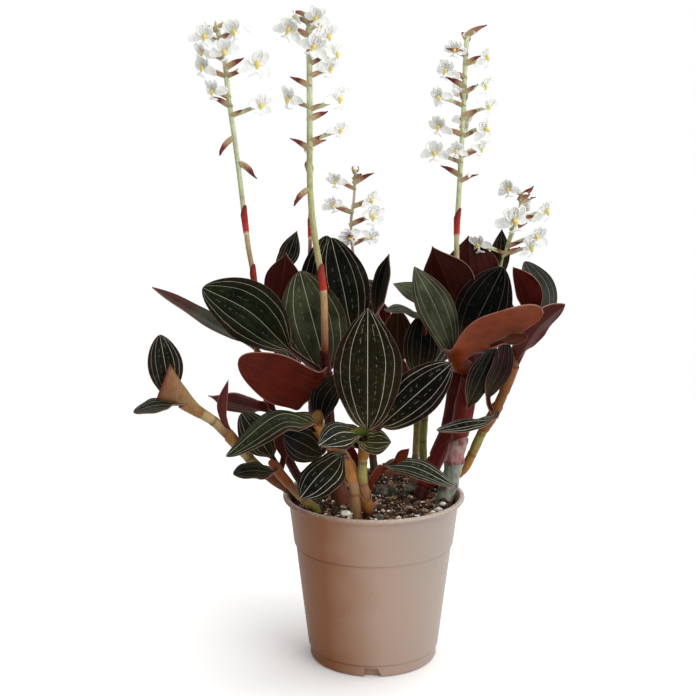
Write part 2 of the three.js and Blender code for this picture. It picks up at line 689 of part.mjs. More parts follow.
        face: [-0.1, 0.5, 0.9], width: 32, bow: 5,
      },
      {
        root: [-3, 51, 166], base: [10, 60, 170], tip: [40, 92, 172],
        face: [0.1, 0.5, 0.9], width: 32, bow: 5,
      },
      {
        root: [-4, 52, 172], base: [-6, 60, 184], tip: [-6, 84, 218],
        face: [0, 0.7, -0.6], width: 34, bow: -2,
      },
      { root: [-4, 52, 176], base: [-2, 58, 190], tip: [6, 66, 229], face: [0.2, 1, 0], width: 26 },
    ],
  },
  {
    name: 'shoot_young',
    radius: 2.2,
    foot: [7, 6],
    stem: [[7, 6, 118], [7, 5, 130]],
    leaves: [
      { root: [7, 5, 126], base: [11, 0, 130], tip: [49, -25, 122], face: [0.1, -0.4, 1], width: 19, bow: 4 },
      { root: [7, 6, 124], base: [16, 14, 126], tip: [23, 16, 139], face: [0.2, -1, 0.2], width: 9 },
    ],
  },
];

// ---- the assembly ----
function named(name, geometry, material) {
  const mesh = new THREE.Mesh(geometry, material);
  mesh.name = name;
  return mesh;
}

const orchid = new THREE.Group();
orchid.add(named('pot', potGeometry(), plastic));
orchid.add(named('soil', soilGeometry(shoots), bark));
for (const shoot of shoots) {
  const solids = [rod(stemRoute(shoot), shoot.radius, STEM_SIDES, STEM_STEP), ...shoot.leaves.map(leaf)];
  if (shoot.stalk) solids.push(...spike(shoot));
  orchid.add(named(shoot.name, geometryOf(join(solids)), foliage));
}

export default orchid;
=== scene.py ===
import math

import bpy
import numpy as np
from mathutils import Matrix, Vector, noise


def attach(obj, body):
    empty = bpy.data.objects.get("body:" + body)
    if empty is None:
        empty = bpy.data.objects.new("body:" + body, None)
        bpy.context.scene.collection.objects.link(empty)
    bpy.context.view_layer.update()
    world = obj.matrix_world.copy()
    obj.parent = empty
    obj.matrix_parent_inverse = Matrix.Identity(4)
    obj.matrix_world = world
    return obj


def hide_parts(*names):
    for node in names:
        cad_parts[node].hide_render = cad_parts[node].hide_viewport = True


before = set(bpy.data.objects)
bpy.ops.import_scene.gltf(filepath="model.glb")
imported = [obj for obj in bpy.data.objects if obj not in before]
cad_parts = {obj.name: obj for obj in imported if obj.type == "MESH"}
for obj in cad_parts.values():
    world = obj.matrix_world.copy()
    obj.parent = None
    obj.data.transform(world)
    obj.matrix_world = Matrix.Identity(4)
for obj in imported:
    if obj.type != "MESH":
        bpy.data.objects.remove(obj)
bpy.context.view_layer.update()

# ------------------------------------------------------------------------------ the pot
# A 12 cm round grower's pot: one injection moulding in brown polypropylene with a wall of 1.5 mm.
# Its lip, ledge, foot ring and notches come out of the mould together, and six drain holes are
# cored through its raised floor.
MM = 0.001
POT_HEIGHT, LIP_RADIUS, LIP_DEPTH, NECK_RADIUS = 111, 60, 2.8, 56.3
LEDGE_HEIGHT, LEDGE_STEP = 78.5, 0.9
FOOT_RADIUS, FOOT_HEIGHT, FOOT_RING, WAIST_RADIUS = 42.4, 8, 2.6, 43.5
WALL, FLOOR_TOP, PAD_RADIUS = 1.5, 7, 15
DRAIN_HOLES, DRAIN_RADIUS, DRAIN_CIRCLE, STEP_RADIUS = 6, 3.5, 25, 36
NOTCHES, NOTCH_WIDTH, NOTCH_HEIGHT, FIRST_NOTCH = 4, 8.5, 6, -93
LIP_DUST_AND_HIGHLIGHT = 1.5


def linear(code):
    """The linear colour of an sRGB hex value."""
    shares = [int(code[i:i + 2], 16) / 255 for i in (1, 3, 5)]
    return (*(s / 12.92 if s <= 0.04045 else ((s + 0.055) / 1.055) ** 2.4 for s in shares), 1.0)


def node(tree, kind, *sockets, out=0, **settings):
    """Adds a shader node with its settings, each socket given a value or another node's output. It comes
    back as one of its own outputs, the first unless out says otherwise."""
    added = tree.nodes.new("ShaderNode" + kind)
    for setting, value in settings.items():
        setattr(added, setting, value)
    for socket, value in sockets:
        if isinstance(value, bpy.types.NodeSocket):
            tree.links.new(value, added.inputs[socket])
        else:
            added.inputs[socket].default_value = value
    return added.outputs[out]


def finish(name, **sockets):
    """A new material with its shader's own settings: the material, its tree and its shader."""
    made = bpy.data.materials.new(name)
    made.use_nodes = True
    shader = made.node_tree.nodes["Principled BSDF"]
    for socket, value in sockets.items():
        shader.inputs[socket.replace("_", " ")].default_value = value
    return made, made.node_tree, shader


def corners(piece):
    """A piece's vertices, in millimetres."""
    flat = np.empty(3 * len(piece.data.vertices))
    piece.data.vertices.foreach_get("co", flat)
    return flat.reshape(-1, 3) / MM


def reshape(piece, places):
    """Moves a piece's vertices to new places, in millimetres."""
    piece.data.vertices.foreach_set("co", (np.asarray(places) * MM).ravel())
    piece.data.update()


def values_of(piece, label):
    """The numbers that a piece's vertices carry under a label."""
    values = np.empty(len(piece.data.vertices), np.float32)
    piece.data.attributes[label].data.foreach_get("value", values)
    return values


def marked(piece, **labels):
    """Gives a piece's vertices numbers under each label: one for all of them or one for each."""
    for label, values in labels.items():
        layer = piece.data.attributes.get(label) or piece.data.attributes.new(label, "FLOAT", "POINT")
        layer.data.foreach_set("value", np.broadcast_to(values, len(piece.data.vertices)).astype(np.float32))
    return piece


def coloured(piece, label, colours):
    """Gives each of a piece's vertices its own colour under a label."""
    layer = piece.data.attributes.new(label, "FLOAT_COLOR", "POINT")
    layer.data.foreach_set("color", colours.astype(np.float32).ravel())
    return piece


def placed(name, data):
    """A new object with this mesh, light or camera, in the scene."""
    piece = bpy.data.objects.new(name, data)
    bpy.context.scene.collection.objects.link(piece)
    return piece


def built(name, points, faces):
    """A piece from its points, in millimetres, and its faces."""
    mesh = bpy.data.meshes.new(name)
    mesh.from_pydata([tuple(point * MM) for point in points], [], faces)
    return placed(name, mesh)


def added(name):
    """The primitive that has just been added, under its name and with its place in its mesh."""
    piece = bpy.context.object
    piece.name = piece.data.name = name
    bpy.ops.object.transform_apply(location=True, rotation=True, scale=True)
    return piece


def only(*pieces):
    """Selects these pieces and nothing else, the first one active."""
    bpy.ops.object.select_all(action="DESELECT")
    for piece in pieces:
        piece.select_set(True)
    bpy.context.view_layer.objects.active = pieces[0]


def joined(name, pieces):
    """Several pieces made one."""
    only(*pieces)
    bpy.ops.object.join()
    pieces[0].name = pieces[0].data.name = name
    return pieces[0]


def modified(piece, kind, **settings):
    """Gives a piece a modifier and applies it."""
    modifier = piece.modifiers.new(kind.title(), kind)
    for setting, value in settings.items():
        setattr(modifier, setting, value)
    only(piece)
    bpy.ops.object.modifier_apply(modifier=modifier.name)
    return piece


def smooth(piece, degrees):
    """Shades a piece smooth, except at edges sharper than this."""
    only(piece)
    bpy.ops.object.shade_smooth_by_angle(angle=math.radians(degrees))
    return piece


def outside_out(piece):
    """Turns all of a piece's faces outward."""
    only(piece)
    bpy.ops.object.mode_set(mode="EDIT")
    bpy.ops.mesh.select_all(action="SELECT")
    bpy.ops.mesh.normals_make_consistent(inside=False)
    bpy.ops.object.mode_set(mode="OBJECT")
    return piece


def fitted(piece, stands_for, slot, *finishes):
    """Gives a finished piece its materials, hides the CAD node it stands for and puts it in the root body.
    slot is not used.
    """
    for finish_ in finishes:
        piece.data.materials.append(finish_)
    if stands_for:
        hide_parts(stands_for)
    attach(piece, "root")
    return piece


def rounded(profile, radius):
    """A profile with each corner cut back by up to the radius and turned in three steps."""
    soft = [profile[0]]
    for before, corner, after in zip(profile, profile[1:], profile[2:]):
        before, corner, after = np.array(before, float), np.array(corner, float), np.array(after, float)
        into, out = np.linalg.norm(before - corner), np.linalg.norm(after - corner)
        reach = min(radius, into * 0.45, out * 0.45)
        start, end = corner + (before - corner) * reach / into, corner + (after - corner) * reach / out
        for t in (0, 0.35, 0.65, 1):
            soft.append(tuple((1 - t) ** 2 * start + 2 * t * (1 - t) * corner + t * t * end))
    return soft + [profile[-1]]


def turned(name, profile, sides):
    """A round form: a disc whose rim is drawn out from each (radius, height) to the next, and closed."""
    (radius, height), *rest = profile
    bpy.ops.mesh.primitive_circle_add(vertices=sides, radius=radius * MM, fill_type="NGON",
                                      location=(0, 0, height * MM))
    piece = added(name)
    bpy.ops.object.mode_set(mode="EDIT")
    bpy.ops.mesh.select_all(action="SELECT")
    bpy.ops.mesh.select_mode(type="EDGE")
    bpy.ops.mesh.region_to_loop()
    for next_radius, next_height in rest:
        bpy.ops.mesh.extrude_edges_move(TRANSFORM_OT_translate={"value": (0, 0, (next_height - height) * MM)})
        wider = next_radius / radius
        bpy.ops.transform.resize(value=(wider, wider, 1), center_override=(0, 0, 0))
        radius, height = next_radius, next_height
    bpy.ops.mesh.edge_face_add()
    bpy.ops.object.mode_set(mode="OBJECT")
    return outside_out(piece)


def wall_radius(z):
    """The outer radius of the pot's wall at a height, without its lip and foot."""
    rise = (z - FOOT_HEIGHT) / (POT_HEIGHT - LIP_DEPTH - FOOT_HEIGHT)
    step = LEDGE_STEP if z > LEDGE_HEIGHT else 0
    return WAIST_RADIUS + rise * (NECK_RADIUS - LEDGE_STEP - WAIST_RADIUS) + step


neck = POT_HEIGHT - LIP_DEPTH
pot_outside = [
    (2, 0.6), (2.6, 0), (PAD_RADIUS, 0), (PAD_RADIUS + 2, FLOOR_TOP - WALL),
    (STEP_RADIUS - 1, FLOOR_TOP - WALL), (STEP_RADIUS, 0.5), (FOOT_RADIUS - FOOT_RING - 1.2, 0.5),
    (FOOT_RADIUS - FOOT_RING - 0.4, 0), (FOOT_RADIUS - 1, 0),
    (FOOT_RADIUS, 1), (FOOT_RADIUS, FOOT_HEIGHT - 1.2), (FOOT_RADIUS - 0.5, FOOT_HEIGHT - 0.5),
    (WAIST_RADIUS, FOOT_HEIGHT), (wall_radius(LEDGE_HEIGHT - 1.4), LEDGE_HEIGHT - 1.4),
    (wall_radius(LEDGE_HEIGHT) - 0.5, LEDGE_HEIGHT - 0.3),
    (wall_radius(LEDGE_HEIGHT + 1), LEDGE_HEIGHT + 0.3),
    (NECK_RADIUS, neck), (LIP_RADIUS - 0.5, neck), (LIP_RADIUS, neck + 1), (LIP_RADIUS, POT_HEIGHT - 1),
    (LIP_RADIUS - 1, POT_HEIGHT), (LIP_RADIUS - 3, POT_HEIGHT),
]
pot_inside = [
    (NECK_RADIUS - WALL, neck - 1), (wall_radius(LEDGE_HEIGHT + 1) - WALL, LEDGE_HEIGHT + 1),
    (wall_radius(LEDGE_HEIGHT) - WALL, LEDGE_HEIGHT), (wall_radius(FLOOR_TOP + 5) - WALL, FLOOR_TOP + 5),
    (wall_radius(FLOOR_TOP) - WALL - 2.5, FLOOR_TOP), (1, FLOOR_TOP),
]
pot = turned("pot_shell", rounded(pot_outside + pot_inside, radius=0.5), sides=144)

cutters = []
for i in range(DRAIN_HOLES):
    turn = 2 * math.pi * i / DRAIN_HOLES
    bpy.ops.mesh.primitive_cylinder_add(
        vertices=32, radius=DRAIN_RADIUS * MM, depth=4 * FLOOR_TOP * MM,
        location=(DRAIN_CIRCLE * math.cos(turn) * MM, DRAIN_CIRCLE * math.sin(turn) * MM, FLOOR_TOP * MM))
    cutters.append(added("drain_hole_cutter"))
for i in range(NOTCHES):
    turn = math.radians(FIRST_NOTCH + 360 * i / NOTCHES)
    middle = (FOOT_RADIUS - FOOT_RING / 2) * MM
    bpy.ops.mesh.primitive_cube_add(size=1, location=(middle * math.cos(turn), middle * math.sin(turn), 0),
                                    rotation=(0, 0, turn),
                                    scale=((FOOT_RING + 2) * MM, NOTCH_WIDTH * MM, 2 * NOTCH_HEIGHT * MM))
    notch = added("notch_cutter")
    shape, ahead = corners(notch), np.array([-math.sin(turn), math.cos(turn), 0])
    reshape(notch, shape + NOTCH_HEIGHT * ((shape @ ahead > 0) & (shape[:, 2] < 0))[:, None] * ahead)
    cutters.append(modified(notch, "BEVEL", width=0.8 * MM, segments=3))
cutter = joined("pot_cutter", cutters)
modified(pot, "BOOLEAN", object=cutter, operation="DIFFERENCE", solver="EXACT")
bpy.data.objects.remove(cutter)
smooth(pot, 32)

# Moulded polypropylene: brown, with a painted sheen that makes it lighter and greyer toward the lit
# right-front side, a fine satin grain off the mould, faint flow marks, a few dark specks, potting dust along
# the lip, and a painted highlight along the top of the lip.
plastic, tree, shader = finish("moulded_polypropylene", Roughness=0.45, IOR=1.49, Specular_IOR_Level=0.3)
spot = node(tree, "TexCoord", out="Object")
flow = node(tree, "TexNoise", ("Vector", spot), ("Scale", 1 / (24 * MM)), ("Detail", 3))
speck = node(tree, "TexNoise", ("Vector", spot), ("Scale", 1 / (1.4 * MM)), ("Detail", 1))
specks = node(tree, "MapRange", ("Value", speck), ("From Min", 0.76), ("From Max", 0.82))
height = node(tree, "SeparateXYZ", ("Vector", spot), out=2)
near_lip = node(tree, "MapRange", ("Value", height), ("From Min", (POT_HEIGHT - LIP_DUST_AND_HIGHLIGHT) * MM),
                ("From Max", POT_HEIGHT * MM))
dusty = node(tree, "MapRange", ("Value", speck), ("From Min", 0.58), ("From Max", 0.7))
dust = node(tree, "Math", (0, near_lip), (1, dusty), operation="MULTIPLY")
# Painted sheen: the colour runs from brown to a lighter grey-beige toward the lit right-front side.
painted_sheen_side = node(tree, "VectorMath", (0, spot), (1, (0.9 / (100 * MM), -0.43 / (100 * MM), 0)),
               operation="DOT_PRODUCT", out="Value")
drift = node(tree, "MapRange", ("Value", flow), ("To Min", 0.42), ("To Max", 0.58))
painted_sheen_amount = node(tree, "Math", (0, painted_sheen_side), (1, drift), operation="ADD")
brown = node(tree, "ValToRGB", (0, painted_sheen_amount))
stops = brown.node.color_ramp.elements
stops[0].color, stops[0].position = linear("#6E3A0C"), 0.1
stops[1].color = linear("#96887E")
for position, code in ((0.4, "#7E4A22"), (0.56, "#93705A"), (0.74, "#A08676")):
    stops.new(position).color = linear(code)
speckled = node(tree, "Mix", (0, specks), (6, brown), (7, linear("#6E5444")), data_type="RGBA", out=2)
# Painted highlight: the top 1.5 mm of the lip is mixed toward a pale beige. The specks mixed in below are
# dust.
lip_top_highlight = node(tree, "Math", (0, near_lip), (1, 0.45), operation="MULTIPLY")
lip_highlighted = node(tree, "Mix", (0, lip_top_highlight), (6, speckled), (7, linear("#CDBFB2")), data_type="RGBA", out=2)
dusted = node(tree, "Mix", (0, dust), (6, lip_highlighted), (7, linear("#DED6CC")), data_type="RGBA", out=2)
tree.links.new(dusted, shader.inputs["Base Color"])
grain = node(tree, "TexNoise", ("Vector", spot), ("Scale", 1 / (0.5 * MM)), ("Detail", 2))
satin = node(tree, "Bump", ("Height", grain), ("Strength", 0.12), ("Distance", 0.1 * MM))
sink = node(tree, "Bump", ("Height", flow), ("Strength", 0.25), ("Distance", 0.8 * MM), ("Normal", satin))
tree.links.new(sink, shader.inputs["Normal"])
fitted(pot, "pot", "plastic", plastic)

# ------------------------------------------------------------------------------ the potting mix
# A coarse orchid mix of peat, bark, perlite and a few old clay-green lumps, filled loose to 6.5 mm below
# the lip and settled by watering. It is heaped in places: each heap has a place, a width and a height.
SOIL_TOP, SOIL_CROWN, SOIL_EDGE, SOIL_RELIEF, SOIL_BANK = 104.5, 2, 1.5, 1.6, 4.5
HEAPS = [((48, -20), 14, 3.6), ((-48, -14), 14, 3), ((-20, -44), 12, 1.2), ((8, -30), 16, 1.6),
         ((30, -36), 10, 1.4)]
chance = np.random.default_rng(12)


def soil_height(x, y):
    """The height of the mix's own surface at each place."""
    share = np.hypot(x, y) / wall_radius(SOIL_TOP)
    banked = SOIL_BANK * np.clip((share - 0.55) / 0.4, 0, 1) * np.clip(0.5 + y / 40, 0.25, 1)
    lumps = np.sin(0.31 * x + 0.5) * np.cos(0.27 * y) + 0.6 * np.sin(0.63 * x - 0.55 * y)
    rise = SOIL_TOP + SOIL_CROWN * (1 - share) + SOIL_RELIEF * lumps + banked
    for (hx, hy), spread, tall in HEAPS:
        rise = rise + tall * np.exp(-((x - hx) ** 2 + (y - hy) ** 2) / (2 * (spread / 2) ** 2))
    return rise


def side(z):
    """How far out the mix reaches at a height: just clear of the pot's inner wall."""
    return wall_radius(z) - WALL - 0.3


def lumpy(places, size):
    """Smooth random values from -1 to 1 at each place, with lumps of that size in millimetres."""
    return np.array([noise.noise(Vector(place / size)) for place in places])


edge = SOIL_TOP - SOIL_EDGE
rings = [(side(edge) * (1 - i / 30), SOIL_TOP) for i in range(1, 30)]
bed = turned("soil_bed", [
    (4, FLOOR_TOP + 0.3), (side(FLOOR_TOP) - 2.5, FLOOR_TOP + 0.3), (side(FLOOR_TOP + 5), FLOOR_TOP + 5.3),
    (side(LEDGE_HEIGHT), LEDGE_HEIGHT), (side(LEDGE_HEIGHT), LEDGE_HEIGHT + 1.3), (side(edge), edge), *rings,
], 96)
shape = corners(bed)
top = shape[:, 2] > SOIL_TOP - 0.5
level = soil_height(shape[top, 0], shape[top, 1])
shape[top, 2] = level + 1.3 * lumpy(shape[top], 3) + 0.8 * lumpy(shape[top], 1.1)
reshape(bed, shape)
smooth(bed, 60)


def crumb(name, fineness, stretch, rough):
    """One crumb of the mix: a ball of unit radius, flattened by stretch and knocked about by rough."""
    bpy.ops.mesh.primitive_ico_sphere_add(subdivisions=fineness, radius=MM)
    piece = added(name)
    ball = corners(piece)
    knocked = ball * (1 + rough * lumpy(ball + chance.uniform(0, 50, 3), 0.6))[:, None]
    reshape(piece, knocked * np.array(stretch))
    return piece


def scattered(name, patterns, places, axes, tones):
    """Many copies of a few small patterns in one mesh, each at its place and along its own three axes."""
    points, faces, shades = [], [], []
    for i, (place, turn, tone) in enumerate(zip(places, axes, tones)):
        pattern = patterns[i % len(patterns)]
        start = len(points)
        points.extend(corners_of[pattern.name] @ turn + place)
        faces.extend(tuple(start + v for v in face) for face in faces_of[pattern.name])
        shades.extend([tone] * len(corners_of[pattern.name]))
    return marked(built(name, points, faces), tone=shades)


corners_of, faces_of = {}, {}


def patterned(*pieces):
    """Keeps the shapes of a few pieces as patterns to copy, and takes the pieces away."""
    for piece in pieces:
        corners_of[piece.name] = corners(piece)
        faces_of[piece.name] = [tuple(polygon.vertices) for polygon in piece.data.polygons]
    return list(pieces)


def strewn(count, small, large, reach=51, flat=0.1):
    """Places on the mix, with axes of random length and turn; flat tips them less."""
    around, out = chance.uniform(0, 2 * math.pi, count), reach * np.sqrt(chance.uniform(0, 1, count))
    size = small + (large - small) * chance.uniform(0, 1, count) ** 2.2
    x, y = out * np.cos(around), out * np.sin(around)
    tilt = chance.normal(0, 1 - flat, (count, 2))
    axes = []
    for i in range(count):
        normal = np.array([tilt[i, 0], tilt[i, 1], 1.2])
        normal /= np.linalg.norm(normal)
        way = np.cross(normal, [math.cos(7 * i), math.sin(7 * i), 0.1])
        way /= np.linalg.norm(way)
        axes.append(np.array([way, np.cross(normal, way), normal]) * size[i])
    return np.column_stack([x, y, soil_height(x, y) + size * 0.12]), axes


flakes = patterned(*[crumb(f"bark_flake_{i}", 1, stretch=(1, 0.55 + 0.1 * i, 0.24 + 0.05 * i), rough=0.5)
                     for i in range(3)])
places, axes = strewn(700, small=1.2, large=4.6, flat=0.5)
bark = scattered("bark_chips", flakes, places, axes, chance.uniform(0, 1, len(places)))
grains = patterned(*[crumb(f"peat_grain_{i}", 1, stretch=(1, 0.8, 0.7), rough=0.5) for i in range(3)])
places, axes = strewn(2300, small=0.5, large=1.5, reach=52)
peat = scattered("peat_crumbs", grains, places, axes, chance.uniform(0, 0.75, len(places)))
beads = patterned(*[crumb(f"perlite_bead_{i}", 2, stretch=(1, 0.9, 0.8), rough=0.35) for i in range(3)])
places, axes = strewn(560, small=0.4, large=1.2)
large_beads = [(-18, -45, 3.6), (-12, -47, 1.9), (41, -28, 2.6), (44, -24, 2.0), (37, -32, 1.7),
               (15, -42, 1.8), (26, -41, 1.4), (9, -30, 1.4), (-31, -36, 1.5), (31, -27, 1.5),
               (19, -34, 1.2), (33, -38, 1.2)]
for x, y, size in large_beads:
    places = np.vstack([places, [x, y, soil_height(x, y) + 0.6 * size]])
    axes.append(np.diag([size, size * 0.8, size * 0.75]))
perlite = scattered("perlite", beads, places, axes, chance.uniform(0, 1, len(places)))
places, axes = strewn(1500, small=0.35, large=1.15)
grit = scattered("bark_grit", grains, places, axes, chance.uniform(0.7, 1.1, len(places)))
large_lumps = [(9, 9, 8), (27, 16, 8), (3, -45, 3.2), (16, -26, 3), (-38, -26, 5), (-6, 30, 6), (-30, 20, 6),
               (36, 22, 5)]
lumps = []
for x, y, size in large_lumps:
    lump = crumb("clay_lump", fineness=4, stretch=(size, size * 0.8, size * 0.66), rough=0.26)
    reshape(lump, corners(lump) + [x, y, soil_height(x, y) + 0.1 * size])
    lumps.append(lump)
clay = smooth(joined("clay_lumps", lumps), 70)
for pattern in flakes + grains + beads:
    bpy.data.objects.remove(pattern)

# Damp peat: nearly black brown, crumbly and dull, with paler fibres.
damp_peat, tree, shader = finish("damp_peat", Roughness=0.9, Specular_IOR_Level=0.2)
spot = node(tree, "TexCoord", out="Object")
fibres = node(tree, "TexNoise", ("Vector", spot), ("Scale", 1 / (1.6 * MM)), ("Detail", 6))
colours = node(tree, "ValToRGB", (0, fibres))
stops = colours.node.color_ramp.elements
for position, code in ((0.3, "#120C08"), (0.52, "#2C1E16"), (0.68, "#5E4432")):
    stops.new(position).color = linear(code)
stops.remove(stops[0])
stops.remove(stops[-1])
tree.links.new(colours, shader.inputs["Base Color"])
rough = node(tree, "Bump", ("Height", fibres), ("Strength", 0.9), ("Distance", 1.2 * MM))
tree.links.new(rough, shader.inputs["Normal"])

# Shredded bark: each flake its own brown, from tarry black to tan, with the grain of the wood. The peat
# crumbs and the grit are finer bits of the same.
shredded_bark, tree, shader = finish("shredded_bark", Roughness=0.8, Specular_IOR_Level=0.25)
spot = node(tree, "TexCoord", out="Object")
tone = node(tree, "Attribute", attribute_name="tone", out="Fac")
colours = node(tree, "ValToRGB", (0, tone))
stops = colours.node.color_ramp.elements
stops[0].color, stops[1].color = linear("#120C09"), linear("#CDB296")
for position, code in ((0.3, "#34221A"), (0.58, "#66452F"), (0.82, "#98745A")):
    stops.new(position).color = linear(code)
streaks = node(tree, "TexNoise", ("Vector", spot), ("Scale", 1 / (0.9 * MM)), ("Detail", 4))
worn = node(tree, "MapRange", ("Value", streaks), ("From Min", 0.35), ("From Max", 0.7), ("To Min", 0.55),
            ("To Max", 1.25))
bark_colour = node(tree, "Mix", (0, 1.0), (6, colours), (7, worn), data_type="RGBA",
                   blend_type="MULTIPLY", out=2)
tree.links.new(bark_colour, shader.inputs["Base Color"])
rough = node(tree, "Bump", ("Height", streaks), ("Strength", 0.7), ("Distance", 0.4 * MM))
tree.links.new(rough, shader.inputs["Normal"])

# Expanded perlite: chalk-white glassy foam, pitted, a little stained by the peat.
expanded_perlite, tree, shader = finish("expanded_perlite", Roughness=0.85, Specular_IOR_Level=0.3)
spot = node(tree, "TexCoord", out="Object")
pits = node(tree, "TexVoronoi", ("Vector", spot), ("Scale", 1 / (0.7 * MM)))
stain = node(tree, "TexNoise", ("Vector", spot), ("Scale", 1 / (2.2 * MM)), ("Detail", 3))
stained = node(tree, "MapRange", ("Value", stain), ("From Min", 0.45), ("From Max", 0.75))
chalk = node(tree, "Mix", (0, stained), (6, linear("#F2ECE0")), (7, linear("#B4A28C")), data_type="RGBA",
             out=2)
tree.links.new(chalk, shader.inputs["Base Color"])
pitted = node(tree, "Bump", ("Height", pits), ("Strength", 0.5), ("Distance", 0.4 * MM))
tree.links.new(pitted, shader.inputs["Normal"])

# Old clay lumps: grey-green with algae, rounded and pitted, with peat in the hollows.
old_clay, tree, shader = finish("algae_stained_clay", Roughness=0.82, Specular_IOR_Level=0.25)
spot = node(tree, "TexCoord", out="Object")
blotch = node(tree, "TexNoise", ("Vector", spot), ("Scale", 1 / (4 * MM)), ("Detail", 6))
colours = node(tree, "ValToRGB", (0, blotch))
stops = colours.node.color_ramp.elements
stops[0].color, stops[0].position = linear("#26221B"), 0.36
stops[1].color, stops[1].position = linear("#706D5E"), 0.66
stops.new(0.5).color = linear("#3F3D31")
tree.links.new(colours, shader.inputs["Base Color"])
rough = node(tree, "Bump", ("Height", blotch), ("Strength", 0.8), ("Distance", 1.2 * MM))
tree.links.new(rough, shader.inputs["Normal"])
fitted(bed, "soil", "bark", damp_peat)
fitted(bark, "soil", "bark", shredded_bark)
fitted(peat, "soil", "bark", shredded_bark)
fitted(grit, "soil", "bark", shredded_bark)
fitted(perlite, "soil", "bark", expanded_perlite)
fitted(clay, "soil", "bark", old_clay)

